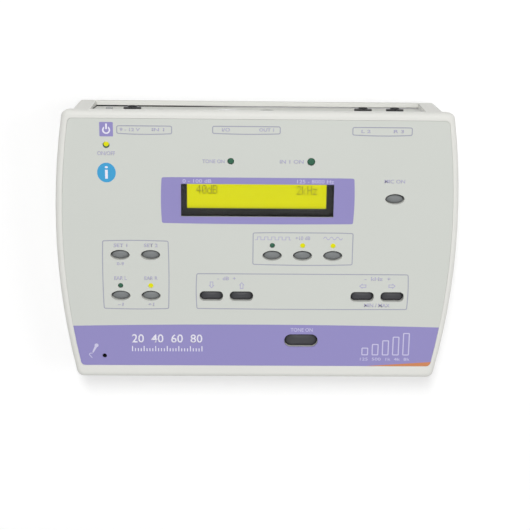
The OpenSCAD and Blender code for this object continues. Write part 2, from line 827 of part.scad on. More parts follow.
module power_inlet() {
  color([0.1, 0.1, 0.1]) {
    difference() {
      union() {
        block(inlet_u, conn_z, 9, 11, y_back - jack_depth, y_back);
        rod(inlet_u, conn_z, 4, y_back - 1, y_conn + 0.2);
      }
      rod(inlet_u, conn_z, 2.8, y_back - 9, y_conn + 2);
    }
    rod(inlet_u, conn_z, 1, y_back - 10, y_conn - 0.6);
  }
}

module usb_socket() {
  color([0.7, 0.7, 0.72]) {
    difference() {
      block(usb_u, conn_z, usb_l, usb_h, y_back - jack_depth, y_conn + 0.3);
      block(usb_u, conn_z, 8.5, 7.8, y_back - 7, y_conn + 2);
    }
    block(usb_u, conn_z, 5.6, 3.2, y_back - 8, y_conn - 0.8);
  }
}

module round_socket() {
  color([0.15, 0.15, 0.15]) {
    difference() {
      union() {
        block(round_socket_u, conn_z, 14, 11, y_back - jack_depth, y_back);
        rod(round_socket_u, conn_z, 5.2, y_back - 1, y_conn + 0.3);
      }
      rod(round_socket_u, conn_z, 4.7, y_back - 6, y_conn + 2);
    }
    difference() {
      rod(round_socket_u, conn_z, 4, y_back - 7, y_conn - 0.6);
      block(round_socket_u, conn_z - 1, 2.2, 1, y_back - 4, y_conn + 1);
      for (a = [40:50:140])
        rod(round_socket_u + 2.6 * cos(a), conn_z + 2.6 * sin(a) - 0.6, 0.5, y_back - 4, y_conn + 1);
    }
  }
}

module power_switch() {
  color([0.15, 0.15, 0.15]) difference() {
    block(button_u, conn_z, 8, 10, y_back - jack_depth, y_back - 3.4);
    rod(button_u, conn_z, 1.5 + stem_fit, y_back - 10.5, y_back);
  }
}

module power_button() {
  color([0.55, 0.56, 0.58]) {
    block(button_u, conn_z, 4.2, 6, y_back - 1, y_conn + button_out);
    block(button_u, conn_z, 6.4, 7.6, y_back - 1.3, y_back - 0.1);
    rod(button_u, conn_z, 1.5, y_back - 8, y_back - 1);
  }
}

// ---- Boards ----
module socket_board() {
  color([0.1, 0.4, 0.2])
    translate([button_u - 6, y_back - jack_depth - board_t, socket_board_z])
      cube([right_jack_u - button_u + 13, board_t, conn_z + 4.5 - socket_board_z]);
}

module main_board() {
  color([0.1, 0.4, 0.2]) difference() {
    translate([-main_u, main_y0, main_z])
      cube([2 * main_u, main_y1 - main_y0, board_t]);
    for (p = main_posts)
      translate([p[0], p[1], main_z - 1])
        cylinder(r = 1.3, h = board_t + 2);
  }
}

module main_board_screws() {
  color([0.6, 0.6, 0.62]) for (p = main_posts)
    translate([p[0], p[1], main_z + board_t]) {
      cylinder(r = 2.2, h = 1.6);
      translate([0, 0, -6]) cylinder(r = 1.05, h = 6.1);
    }
}

module board_chips() {
  // Place as a share of the board, then length and width
  chips = [[-0.32, 0.26, 20, 20], [0.1, 0.29, 14, 14], [-0.53, -0.43, 18, 10], [0.47, -0.05, 10, 22],
    [0.63, 0.57, 12, 8]];
  color([0.08, 0.08, 0.08]) for (c = chips)
    translate([c[0] * main_u - c[2] / 2, main_mid + c[1] * main_half - c[3] / 2, main_z + board_t])
      cube([c[2], c[3], 2.4]);
}

module board_capacitors() {
  spots = [[-0.74, 0.57], [-0.63, 0.57], [-0.74, 0.34], [0.76, -0.35], [0.76, -0.54]];
  color([0.15, 0.15, 0.3]) for (c = spots)
    translate([c[0] * main_u, main_mid + c[1] * main_half, main_z + board_t])
      cylinder(r = 4, h = 7);
}

module ribbon(u, l, path) {
  translate([u - l / 2, 0, 0])
    rotate([90, 0, 90])
      linear_extrude(l)
        polygon(path);
}

// Flat cable from the key board down to the main board
module key_ribbon() {
  y0 = 20;
  v0 = (y0 - y_rear + (w_key_board - board_t) * st) / ct;
  z0 = rear_h + v0 * st + (w_key_board - board_t) * ct;
  z1 = main_z + board_t;
  y2 = y0 + key_ribbon_run;
  color([0.6, 0.6, 0.6]) ribbon(-5, key_ribbon_l, [[y0, z0 - 0.05], [y0, z0 - ribbon_rise],
    [y2, z1 + ribbon_rise], [y2, z1], [y2 + ribbon_t, z1], [y2 + ribbon_t, z1 + ribbon_rise + 0.3],
    [y0 + ribbon_t, z0 - ribbon_rise + 0.3], [y0 + ribbon_t, z0 + ribbon_t * st / ct - 0.05]]);
}

// Flat cable from the socket board to the main board
module socket_ribbon() {
  y1 = y_back - jack_depth - board_t;
  z1 = main_z + board_t;
  y2 = y1 - socket_ribbon_run;
  z2 = z1 + socket_ribbon_rise;
  color([0.6, 0.6, 0.6]) ribbon(30, socket_ribbon_l, [[y1, z2], [y2, z2], [y2, z1],
    [y2 - ribbon_t, z1], [y2 - ribbon_t, z2 + ribbon_t], [y1, z2 + ribbon_t]]);
}

base_shell();
top_cover();
panel_film();
display_lens();
lcd_frame();
lcd_glass();
lcd_board();
lcd_header();
lcd_screws();
key_board();
key_switches();
key_board_screws();
menu_key();
print_key();
left_key();
right_key();
pulse_key();
boost_key();
warble_key();
talk_key();
level_down_key();
level_up_key();
pitch_down_key();
pitch_up_key();
present_key();
power_lamp();
tone_lamp();
reply_lamp();
left_key_lamp();
right_key_lamp();
pulse_lamp();
boost_lamp();
warble_lamp();
microphone();
mic_grommet();
rear_panel();
rear_panel_screws();
reply_jack();
left_jack();
right_jack();
jack_nuts();
power_inlet();
usb_socket();
round_socket();
power_switch();
power_button();
socket_board();
main_board();
main_board_screws();
board_chips();
board_capacitors();
key_ribbon();
socket_ribbon();
case_screws();
rubber_feet();
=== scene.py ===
# %% [markdown]
# # A desktop tone audiometer, dressed in Blender
# This lesson takes the bare CAD frame of a desktop hearing tester and gives it its
# finishes, its printing and the small rounded edges that catch the light. It starts by
# loading the frame. Everything below is in metres and in the frame's own axes: +X to the
# user's right, +Y to the rear where the sockets are, +Z up. Helpers that draw small things
# take millimetres and say so.

# %% Load the frame
import json
import math
import bpy
from mathutils import Matrix, Vector


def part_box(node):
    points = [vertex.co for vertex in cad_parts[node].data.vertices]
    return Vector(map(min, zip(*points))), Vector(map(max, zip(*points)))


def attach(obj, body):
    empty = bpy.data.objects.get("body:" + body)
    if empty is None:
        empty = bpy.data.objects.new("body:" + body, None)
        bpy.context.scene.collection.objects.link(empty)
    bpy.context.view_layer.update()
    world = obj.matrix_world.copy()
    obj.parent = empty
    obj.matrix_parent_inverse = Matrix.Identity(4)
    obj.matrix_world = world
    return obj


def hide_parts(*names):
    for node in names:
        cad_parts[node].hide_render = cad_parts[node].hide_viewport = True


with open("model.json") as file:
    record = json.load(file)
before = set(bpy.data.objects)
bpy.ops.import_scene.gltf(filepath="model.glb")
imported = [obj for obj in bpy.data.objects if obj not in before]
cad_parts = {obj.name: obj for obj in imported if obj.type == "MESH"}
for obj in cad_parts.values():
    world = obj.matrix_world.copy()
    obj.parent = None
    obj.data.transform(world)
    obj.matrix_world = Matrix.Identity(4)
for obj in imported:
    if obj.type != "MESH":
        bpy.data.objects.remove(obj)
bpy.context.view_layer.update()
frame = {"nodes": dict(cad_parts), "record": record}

nodes = frame["nodes"]
MM = 0.001

# %% [markdown]
# ## Where things are on the sloping panel
# The key panel leans 7.5 degrees. It is easier to draw on a level sheet and to lay the
# sheet on the slope afterwards, so every printed piece is first drawn with x across, y up
# the slope from the rear edge and z out of the panel, and PANEL then puts it in place.

# %% The panel's own axes
TILT = math.radians(7.5)
REAR_EDGE = 90.334 * MM
REAR_HEIGHT = 60 * MM
PANEL = Matrix.Translation((0, REAR_EDGE, REAR_HEIGHT)) @ Matrix.Rotation(TILT, 4, "X")
LEVEL = PANEL.inverted()
FILM_TOP, CAD_FILM_TOP = -0.2 * MM, -0.8 * MM


def over(node):
    """The matrix that carries a level drawing to the panel above a CAD node's middle."""
    low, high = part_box(node)
    middle = LEVEL @ ((low + high) / 2)
    return PANEL @ Matrix.Translation((middle.x, middle.y, 0))


print("the front edge of a 185 mm panel lies at", tuple(round(c, 4) for c in PANEL @ Vector((0, -0.185, 0))))

# %% [markdown]
# ## The camera
# The photograph was taken from above and a little behind the rear edge, almost square to
# the panel. A camera fitted to the outline, the keys and the film's corners gives this
# place and these axes. A long lens, 93 mm on a 36 mm sensor, keeps the edges almost parallel.

# %% Camera
EYE = Vector((-17.745, 157.473, 946.887)) * MM
RIGHT = Vector((0.99966466, 0.01067612, 0.02359211))
UP = Vector((-0.00610668, 0.98255400, -0.18587724))
BACK = Vector((-0.02516497, 0.18567084, 0.98228971))
SENSOR, FOCAL_PIXELS, PICTURE_PIXELS = 36, 1374, 530
bpy.ops.object.camera_add(location=EYE)
camera = bpy.context.object
camera.name = "camera"
axes = Matrix((RIGHT, UP, BACK)).transposed().to_4x4()
camera.matrix_world = Matrix.Translation(EYE) @ axes
camera.data.sensor_width = SENSOR
camera.data.lens = SENSOR * FOCAL_PIXELS / PICTURE_PIXELS
camera.data.clip_start = 0.05
bpy.context.scene.camera = camera
print("lens", round(camera.data.lens, 2), "mm")

# %% [markdown]
# ## Selecting and shaping
# Blender's operators act on what is selected, so each step first selects one thing alone.
# In edit mode the wanted faces, edges or corners are picked by a rule on where they lie.

# %% Helpers for selecting
def pick(*pieces):
    """Makes these pieces the only selected ones, and the first of them active."""
    bpy.ops.object.select_all(action="DESELECT")
    for piece in pieces:
        piece.select_set(True)
    bpy.context.view_layer.objects.active = pieces[0]


def close():
    bpy.ops.object.mode_set(mode="OBJECT")


def edit(piece, kind):
    """Opens the piece for editing faces, edges or corners, with none of them selected."""
    pick(piece)
    bpy.ops.object.mode_set(mode="EDIT")
    bpy.ops.mesh.select_mode(type=kind)
    bpy.ops.mesh.select_all(action="DESELECT")


def open_faces(piece, wanted=None):
    """Opens the piece with only the wanted faces selected, or all of them."""
    edit(piece, "FACE")
    if wanted:
        close()
        for face in piece.data.polygons:
            face.select = wanted(face)
        bpy.ops.object.mode_set(mode="EDIT")
    else:
        bpy.ops.mesh.select_all(action="SELECT")


def open_parts(piece, kind, wanted):
    """Opens the piece with the wanted vertices or edges selected; wanted is given their ends."""
    edit(piece, kind)
    close()
    corners = piece.data.vertices
    for part in corners if kind == "VERT" else piece.data.edges:
        ends = [part.co] if kind == "VERT" else [corners[i].co for i in part.vertices]
        part.select = wanted(*ends)
    bpy.ops.object.mode_set(mode="EDIT")


# %% [markdown]
# A finished piece has its place in its mesh and its object at the origin, which keeps the
# patterns where they are when a joint moves the piece. `settle` does that last step: it
# names the piece, gives it its material and lets it ride on its body.

# %% Helpers for shaping and finishing
def outwards(piece):
    """Merges doubles and turns the faces outwards."""
    open_faces(piece)
    bpy.ops.mesh.remove_doubles(threshold=2e-6)
    bpy.ops.mesh.normals_make_consistent(inside=False)
    close()


def modify(piece, kind, **settings):
    """Adds a modifier and applies it at once."""
    pick(piece)
    modifier = piece.modifiers.new(kind.title(), kind)
    for key, value in settings.items():
        setattr(modifier, key, value)
    bpy.ops.object.modifier_apply(modifier=modifier.name)


def carve(piece, tool, operation="DIFFERENCE"):
    """Takes the tool away from a solid, or merges it in a UNION, and drops the tool."""
    modify(piece, "BOOLEAN", object=tool, operation=operation, solver="EXACT")
    bpy.data.objects.remove(tool)


def place(piece, matrix=Matrix()):
    """Lays the piece where matrix says, with its place in its mesh."""
    bpy.context.view_layer.update()
    piece.matrix_world = matrix @ piece.matrix_world
    pick(piece)
    bpy.ops.object.transform_apply(location=True, rotation=True, scale=True)
    return piece


def join(pieces):
    """One piece from several."""
    pick(*pieces)
    bpy.ops.object.join()
    return pieces[0]


def twin(piece):
    """A copy with its own mesh."""
    copy = piece.copy()
    copy.data = piece.data.copy()
    bpy.context.scene.collection.objects.link(copy)
    return copy


def settle(piece, name, material, body="case", smooth=None):
    """Names the finished piece, paints it and lets it ride on its body."""
    piece.name = name
    piece.data.name = name
    piece.data.materials.clear()
    piece.data.materials.append(material)
    pick(piece)
    if smooth:
        bpy.ops.object.shade_smooth_by_angle(angle=math.radians(smooth))
    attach(piece, body)
    return piece


# %% [markdown]
# ## Nodes
# Materials are trees of nodes. These helpers add a node, link or set its inputs, and read
# the Object coordinates, which stay with a piece when a joint moves it.

# %% Node helpers
def shader(name):
    """A new material with nodes: itself, its tree and its Principled shader."""
    material = bpy.data.materials.new(name)
    material.use_nodes = True
    return material, material.node_tree, material.node_tree.nodes["Principled BSDF"]


def connect(tree, node, **inputs):
    """Links or sets a node's inputs: i0 is the first one, Base_Color is Base Color."""
    for key, value in inputs.items():
        socket = node.inputs[int(key[1:]) if key[1:].isdigit() else key.replace("_", " ")]
        if isinstance(value, bpy.types.NodeSocket):
            tree.links.new(value, socket)
        else:
            socket.default_value = value
    return node


def add(tree, kind, settings=None, **inputs):
    """Adds a node; settings are its properties, inputs are values or sockets to link."""
    node = tree.nodes.new(kind)
    for key, value in (settings or {}).items():
        setattr(node, key, value)
    return connect(tree, node, **inputs)


def maths(tree, operation, first, second=0.0, third=0.0):
    """One Math node and its result."""
    return add(tree, "ShaderNodeMath", {"operation": operation}, i0=first, i1=second, i2=third).outputs[0]


def mix(tree, share, first, second):
    """A colour between two: the first where share is 0, the second where it is 1."""
    return add(tree, "ShaderNodeMix", {"data_type": "RGBA"}, Factor=share, i6=first, i7=second).outputs[2]


def ramp(tree, value, start, end, low=0.0, high=1.0, curve="LINEAR"):
    """Low where value is at start, high where it is at end, and held beyond them."""
    return add(tree, "ShaderNodeMapRange", {"interpolation_type": curve}, Value=value, i1=start, i2=end,
               i3=low, i4=high).outputs[0]


def where_on(tree, axis=None):
    """Object coordinates, or one of them."""
    spot = add(tree, "ShaderNodeTexCoord").outputs["Object"]
    return add(tree, "ShaderNodeSeparateXYZ", Vector=spot).outputs[axis] if axis else spot


def paint(red, green, blue, alpha=1.0):
    """A colour as read off a screen, 0 to 255, turned into Blender's linear light."""
    linear = [c / 255 / 12.92 if c <= 10 else ((c / 255 + 0.055) / 1.055) ** 2.4 for c in (red, green, blue)]
    return (*linear, alpha)


# %% [markdown]
# ## Floor and backdrop
# The object was photographed on white card. The floor is a pale card that takes the
# object's shadow. Only what the camera, a reflection or clear glass sees of it is lifted
# towards white, so the lift adds no light to the object.

# %% Floor and world
def seen_directly(tree):
    """1 for rays from the camera, from gloss or through glass, otherwise 0."""
    path = tree.nodes.new("ShaderNodeLightPath")
    either = maths(tree, "MAXIMUM", path.outputs["Is Camera Ray"], path.outputs["Is Glossy Ray"])
    return maths(tree, "MAXIMUM", either, path.outputs["Is Transmission Ray"])


FLOOR_CARD, FLOOR_BOUNCE = 0.62, 0.8
FLOOR_LIFT = 0.42
FLOOR_SIZE, FLOOR_UNDER = 8, 0.2 * MM
AMBIENT = 0.40
card, tree, principled = shader("white_card")
direct = seen_directly(tree)
tone = mix(tree, direct, 3 * (FLOOR_BOUNCE,) + (1,), 3 * (FLOOR_CARD,) + (1,))
connect(tree, principled, Base_Color=tone, Roughness=0.9, Specular_IOR_Level=0.0)
glow = add(tree, "ShaderNodeEmission", Color=(1, 1, 1, 1), Strength=maths(tree, "MULTIPLY", direct, FLOOR_LIFT))
both = add(tree, "ShaderNodeAddShader", i0=principled.outputs[0], i1=glow.outputs[0])
connect(tree, tree.nodes["Material Output"], Surface=both.outputs[0])
bpy.ops.mesh.primitive_plane_add(size=FLOOR_SIZE, location=(0, 0, -FLOOR_UNDER))
floor = bpy.context.object
floor.name = "floor_card"
floor.data.materials.append(card)

world = bpy.data.worlds.new("studio")
bpy.context.scene.world = world
world.use_nodes = True
sky = world.node_tree
strength = add(sky, "ShaderNodeMix", {"data_type": "FLOAT"}, Factor=seen_directly(sky), i2=AMBIENT, i3=1.0)
connect(sky, sky.nodes["Background"], Color=(1, 1, 1, 1), Strength=strength.outputs[0])
bpy.context.scene.view_settings.view_transform = "Standard"
print("floor and world ready")

# %% [markdown]
# ## Light
# The photograph's only shadow lies in front of the case, so its main lamp hung behind and
# above the desk, a soft box about as wide as the case is deep. A narrow box gives no
# shadow beside the case, and its depth sets how softly the front shadow fades. Two weak
# lamps, right and front, keep the rim even. Together with the sky they light a level
# surface at about 1, so a colour renders as it is written.

# %% Lamps
def soft_box(name, position, wide, deep, share):
    """A soft box aimed at the case, giving a level surface this share of full light."""
    spot = Vector(position)
    bpy.ops.object.light_add(type="AREA", location=spot)
    lamp = bpy.context.object
    lamp.name = name
    lamp.rotation_euler = spot.to_track_quat("Z", "Y").to_euler()
    lamp.data.shape = "RECTANGLE"
    lamp.data.size = wide
    lamp.data.size_y = deep
    slant = spot.z / spot.length
    lamp.data.energy = share * math.pi ** 2 * spot.length ** 2 / slant
    print(name, "power", round(lamp.data.energy, 1), "W")


soft_box("main_lamp", (-0.15, 0.95, 2.0), 0.45, 0.7, 0.43)
soft_box("right_lamp", (1.3, 0.1, 1.5), 0.8, 0.8, 0.11)
soft_box("front_lamp", (0.0, -1.5, 1.3), 0.8, 0.8, 0.075)

# %% [markdown]
# ## Shared effects
# Moulded plastic is never quite even: it has a fine spark-eroded grain and very slight
# clouds of tone. Both are built once as a group, and each material sets its own sizes.

# %% Group: moulded grain
def new_group(name, inputs, outputs):
    """A node group with these sockets: (name, kind, start value)."""
    group = bpy.data.node_groups.new(name, "ShaderNodeTree")
    for title, kind, start in inputs:
        socket = group.interface.new_socket(title, in_out="INPUT", socket_type=kind)
        socket.default_value = start
    for title, kind in outputs:
        group.interface.new_socket(title, in_out="OUTPUT", socket_type=kind)
    return group, group.nodes.new("NodeGroupInput").outputs, group.nodes.new("NodeGroupOutput")


FLOAT, COLOUR = "NodeSocketFloat", "NodeSocketColor"
grain, given, result = new_group(
    "moulded_grain",
    [("Colour", COLOUR, (0.7, 0.7, 0.7, 1)), ("Grain", FLOAT, 2600.0), ("Clouds", FLOAT, 18.0),
     ("Unevenness", FLOAT, 0.03), ("Roughness", FLOAT, 0.5)],
    [("Colour", COLOUR), ("Roughness", FLOAT), ("Height", FLOAT)])
where = where_on(grain)
fine = add(grain, "ShaderNodeTexNoise", Vector=where, Scale=given["Grain"], Detail=2.0, Roughness=0.55)
clouds = add(grain, "ShaderNodeTexNoise", Vector=where, Scale=given["Clouds"], Detail=3.0)
speck = maths(grain, "SUBTRACT", fine.outputs["Fac"], 0.5)
cloud = maths(grain, "SUBTRACT", clouds.outputs["Fac"], 0.5)
uneven = maths(grain, "MULTIPLY", maths(grain, "MULTIPLY_ADD", speck, 0.6, cloud), given["Unevenness"])
lightness = maths(grain, "MULTIPLY_ADD", uneven, 2.0, 1.0)
scaled = add(grain, "ShaderNodeVectorMath", {"operation": "SCALE"}, i0=given["Colour"], Scale=lightness)
connect(grain, result, Colour=scaled.outputs[0], Height=fine.outputs["Fac"],
        Roughness=maths(grain, "MULTIPLY_ADD", cloud, 0.15, given["Roughness"]))
print("group", grain.name, "has", len(grain.nodes), "nodes")

# %% [markdown]
# Handling leaves hairline scratches and a faint polish on what fingers touch: the keys,
# the film and the lens. A stretched noise draws the hairlines, and a wide one says where
# they gather.

# %% Group: handling marks
marks, given, result = new_group(
    "handling_marks",
    [("Roughness", FLOAT, 0.4), ("Amount", FLOAT, 0.1), ("Spread", FLOAT, 30.0)],
    [("Roughness", FLOAT), ("Scratches", FLOAT)])
where = where_on(marks)
stretched = add(marks, "ShaderNodeMapping", Vector=where, Rotation=(0, 0, 0.7), Scale=(1.0, 14.0, 1.0))
hair = add(marks, "ShaderNodeTexNoise", Vector=stretched.outputs[0], Scale=420.0, Detail=1.0)
patch = add(marks, "ShaderNodeTexNoise", Vector=where, Scale=given["Spread"], Detail=2.0)
zone = ramp(marks, patch.outputs["Fac"], 0.45, 0.7)
scratch = maths(marks, "MULTIPLY", ramp(marks, hair.outputs["Fac"], 0.64, 0.72), zone)
polished = maths(marks, "MULTIPLY", maths(marks, "SUBTRACT", scratch, zone), given["Amount"])
connect(marks, result, Roughness=maths(marks, "ADD", given["Roughness"], polished), Scratches=scratch)
print("group", marks.name, "has", len(marks.nodes), "nodes")

# %% [markdown]
# ## Plastic and rubber finishes
# One function paints every moulded finish: it places the grain group, adds handling marks
# where asked, and feeds a Bump. Colour, grain size and gloss are what differ between a
# cover, a key and a foot. A key's rear rim, deep in its gap, is darkened: painted shade.

# %% Using the groups
def grained(tree, colour, size, clouds, uneven, roughness):
    """The grain group's outputs: Colour, Roughness and Height."""
    return add(tree, "ShaderNodeGroup", {"node_tree": grain}, Colour=colour, Grain=size, Clouds=clouds,
               Unevenness=uneven, Roughness=roughness).outputs


def rubbed(tree, roughness, amount, spread=30.0):
    """The roughness after handling."""
    return add(tree, "ShaderNodeGroup", {"node_tree": marks}, Roughness=roughness, Amount=amount,
               Spread=spread).outputs["Roughness"]


def surface(tree, principled, look, height, strength, distance=0.06 * MM, rough=None):
    """Feeds the shader with the grain's colour and roughness, and with a bump of this height."""
    bump = add(tree, "ShaderNodeBump", Strength=strength, Distance=distance, Height=height).outputs[0]
    connect(tree, principled, Base_Color=look["Colour"], Normal=bump,
            Roughness=look["Roughness"] if rough is None else rough)


def painted_gap_shade(tree, colour, low, high, share):
    """Painted shade: darkens a key's rim to this share below the height low, less and less up to high, most on its
    rear-facing side.
    """
    where = add(tree, "ShaderNodeTexCoord").outputs
    above = add(tree, "ShaderNodeVectorMath", {"operation": "SUBTRACT"}, i0=where["Object"], i1=PANEL.translation)
    height, facing = (
        add(tree, "ShaderNodeVectorMath", {"operation": "DOT_PRODUCT"}, i0=vector, i1=axis.xyz).outputs["Value"]
        for vector, axis in ((above.outputs[0], PANEL.col[2]), (where["Normal"], PANEL.col[1])))
    deep, rear = ramp(tree, height, low, high, 1.0, 0.0), ramp(tree, facing, -0.3, 0.2, 0.25, 1.0)
    unshaded = maths(tree, "MULTIPLY_ADD", maths(tree, "MULTIPLY", deep, rear), share - 1.0, 1.0)
    return add(tree, "ShaderNodeVectorMath", {"operation": "SCALE"}, i0=colour[:3], Scale=unshaded).outputs[0]


# %% Moulded finishes
def moulded(name, colour, roughness, size=2600.0, depth=0.25, uneven=0.03, handled=0.0, gloss=0.5,
            clouds=18.0, gap_shade=None):
    """A moulded plastic or rubber: grain in colour and bump, where handled a faint polish, and where asked, painted
    shade on a key's rim deep in its gap.
    """
    material, tree, principled = shader(name)
    if gap_shade:
        colour = painted_gap_shade(tree, colour, *gap_shade)
    look = grained(tree, colour, size, clouds, uneven, roughness)
    rough = rubbed(tree, look["Roughness"], handled) if handled else None
    surface(tree, principled, look, look["Height"], depth, rough=rough)
    principled.inputs["Specular IOR Level"].default_value = gloss
    return material


LAMP_GREEN = paint(56, 101, 79)
# Painted shade on the keys' rims deep in their gaps: height where it is full, height where it ends, share of the
# colour left.
OVAL_GAP_SHADE, STEP_GAP_SHADE = (-2.6 * MM, -2.2 * MM, 0.25), (-2.5 * MM, -2.1 * MM, 0.3)
cover_plastic = moulded("cover_plastic", paint(225, 225, 220), 0.55, gloss=0.3, uneven=0.02)
tub_plastic = moulded("tub_plastic", paint(224, 224, 219), 0.6, gloss=0.3, uneven=0.02)
plate_plastic = moulded("plate_plastic", paint(208, 209, 203), 0.6, gloss=0.3)
oval_rubber = moulded("oval_rubber", paint(121, 124, 125), 0.5, 3400.0, 0.3, 0.05, 0.12, 0.3, 60.0, OVAL_GAP_SHADE)
step_rubber = moulded("step_rubber", paint(55, 55, 59), 0.5, 3400.0, 0.3, 0.06, 0.12, 0.35, 60.0, STEP_GAP_SHADE)
button_plastic = moulded("button_plastic", paint(150, 152, 152), 0.45, handled=0.1)
black_plastic = moulded("black_plastic", paint(38, 38, 40), 0.4, uneven=0.05, gloss=0.5)
foot_rubber = moulded("foot_rubber", paint(36, 36, 37), 0.8, 1800.0, 0.5, 0.08, gloss=0.2)
frame_paint = moulded("frame_paint", paint(28, 27, 29), 0.5, 3000.0, 0.2, 0.05, gloss=0.3)
green_lamp = moulded("green_lamp", LAMP_GREEN, 0.4, 1500.0, 0.05, 0.06, gloss=0.12)
print("moulded finishes:", len([m for m in bpy.data.materials if m.use_nodes]) - 1)

# %% [markdown]
# ## Printing inks
# The film is printed from behind and the device's marks are flat inks. An ink has almost
# no grain of its own, only the film's velvet surface, so it uses the same group very gently.

# %% Inks
VIOLET = paint(146, 139, 193)
INKS = {  # colour, depth of the bump, unevenness
    "violet_ink": (VIOLET, 0.15, 0.02), "line_ink": (paint(161, 162, 178), 0.1, 0.03),
    "lilac_ink": (paint(176, 173, 202), 0.1, 0.03), "white_ink": (paint(233, 231, 243), 0.1, 0.03),
    "pale_ink": (paint(204, 200, 228), 0.1, 0.03), "blue_ink": (paint(62, 158, 208), 0.15, 0.03)}
ink = {name: moulded(name, colour, 0.45, 2200.0, depth, uneven, gloss=0.3)
       for name, (colour, depth, uneven) in INKS.items()}
print("inks:", len(ink))

# %% [markdown]
# ## The film's material
# The film carries two printed areas that reach its edge: the violet band along the front,
# whose top edge bows up very slightly, and a thin orange wedge in the front right corner.
# They are masks on Object coordinates in the film's own material, so they end exactly at
# the film's edge. Elsewhere the film is a warm grey with a velvet surface.

# %% Film
BAND_TOP = (PANEL @ Vector((0, -146.5 * MM, FILM_TOP))).y
BAND_BOW = 0.093
WEDGE_START = PANEL @ Vector((78 * MM, -176.2 * MM, FILM_TOP))
WEDGE_SLOPE = 0.0705
PRINT_EDGE = 20000.0


def in_front_of(tree, line):
    """1 where Y is below the line, 0 above it, with an edge of 0.05 mm."""
    return add(tree, "ShaderNodeClamp", Value=maths(
        tree, "MULTIPLY", maths(tree, "SUBTRACT", line, where_on(tree, "Y")), PRINT_EDGE)).outputs[0]


film_print, tree, principled = shader("film_print")
across = where_on(tree, "X")
bowed = maths(tree, "MULTIPLY", maths(tree, "MULTIPLY", across, across), BAND_BOW)
band_line = maths(tree, "SUBTRACT", BAND_TOP, bowed)
wedge_line = maths(tree, "MULTIPLY_ADD", maths(tree, "SUBTRACT", across, WEDGE_START.x), WEDGE_SLOPE, WEDGE_START.y)
with_band = mix(tree, in_front_of(tree, band_line), paint(207, 210, 204), VIOLET)
with_wedge = mix(tree, in_front_of(tree, wedge_line), with_band, paint(205, 133, 88))
velvet = grained(tree, with_wedge, 2200.0, 9.0, 0.016, 0.48)
surface(tree, principled, velvet, velvet["Height"], 0.2, 0.05 * MM, rubbed(tree, velvet["Roughness"], 0.06, 14.0))
principled.inputs["Specular IOR Level"].default_value = 0.3
print("band top at y", round(BAND_TOP, 4))

# %% [markdown]
# ## Light, glass and metal
# The display is lit from behind, so most of its colour is emission. Lit lamps glow the
# same yellow. The lens is clear plastic. Screws and the computer socket's shell are plated
# steel with fine drawn lines.

# %% Glowing, clear and metal finishes
def glowing(name, colour, base, strength, dimmed=None):
    """A lit surface; dimmed is (y where the glow is full, y where it ends, colour there)."""
    material, tree, principled = shader(name)
    if dimmed:
        bright, dark, shade = dimmed
        colour = mix(tree, ramp(tree, where_on(tree, "Y"), bright, dark, curve="SMOOTHSTEP"), colour, shade)
    look = grained(tree, colour, 1500.0, 40.0, 0.02, 0.3)
    connect(tree, principled, Base_Color=base, Roughness=look["Roughness"], Specular_IOR_Level=0.1,
            Emission_Color=look["Colour"], Emission_Strength=strength)
    return material


def plated(name, colour, roughness, lines):
    """Plated steel with drawn lines along x."""
    material, tree, principled = shader(name)
    drawn = add(tree, "ShaderNodeMapping", Vector=where_on(tree), Scale=(1.0, 1.0, lines))
    streak = add(tree, "ShaderNodeTexNoise", Vector=drawn.outputs[0], Scale=600.0, Detail=2.0).outputs["Fac"]
    look = grained(tree, colour, 1800.0, 120.0, 0.08, roughness)
    rough = maths(tree, "MULTIPLY_ADD", streak, 0.2, look["Roughness"])
    surface(tree, principled, look, streak, 0.15, 0.04 * MM, rough)
    principled.inputs["Metallic"].default_value = 1.0
    return material


GLASS_FOOT = (PANEL @ Vector((0, -66.3 * MM, -5.7 * MM))).y
LAMP_YELLOW, LAMP_BASE, LAMP_STRENGTH = paint(228, 226, 9), paint(36, 36, 3), 0.93
display_glow = glowing("display_glow", paint(222, 220, 8), paint(40, 40, 4), 0.95,
                       dimmed=(GLASS_FOOT + 3 * MM, GLASS_FOOT - 1 * MM, paint(194, 196, 9)))
lamp_glow = glowing("lamp_glow", LAMP_YELLOW, LAMP_BASE, LAMP_STRENGTH)
display_ink = moulded("display_ink", paint(128, 126, 20), 0.5, 2200.0, 0.05, 0.03, gloss=0.2)
screw_steel = plated("screw_steel", (0.55, 0.55, 0.56, 1), 0.3, 1.0)
shell_steel = plated("shell_steel", (0.62, 0.62, 0.64, 1), 0.28, 12.0)

clear_lens, tree, principled = shader("clear_lens")
connect(tree, principled, Base_Color=(0.97, 0.98, 0.98, 1), Roughness=rubbed(tree, 0.06, 0.05, 25.0), IOR=1.15)
principled.inputs["Transmission Weight"].default_value = 1.0
print("glowing, clear and metal finishes ready")

# %% [markdown]
# ## Boards, cables and capacitors
# Nobody sees the inside with the case closed, but each part is finished: green solder mask
# with copper tracks showing through as paler lines, grey ribbon cable with its ridges, and
# dark blue capacitor sleeves with a pale stripe.

# %% Finishes inside the case
board_green, tree, principled = shader("board_green")
tracks = add(tree, "ShaderNodeTexBrick", {"offset": 0.37, "squash_frequency": 3}, Vector=where_on(tree), Scale=90.0,
             Color1=(0, 0, 0, 1), Color2=(0, 0, 0, 1), Mortar=(1, 1, 1, 1), Mortar_Size=0.03).outputs
solder_mask = mix(tree, tracks["Color"], paint(14, 92, 44), paint(40, 128, 70))
look = grained(tree, solder_mask, 1500.0, 30.0, 0.05, 0.3)
surface(tree, principled, look, tracks["Fac"], 0.3, 0.04 * MM)


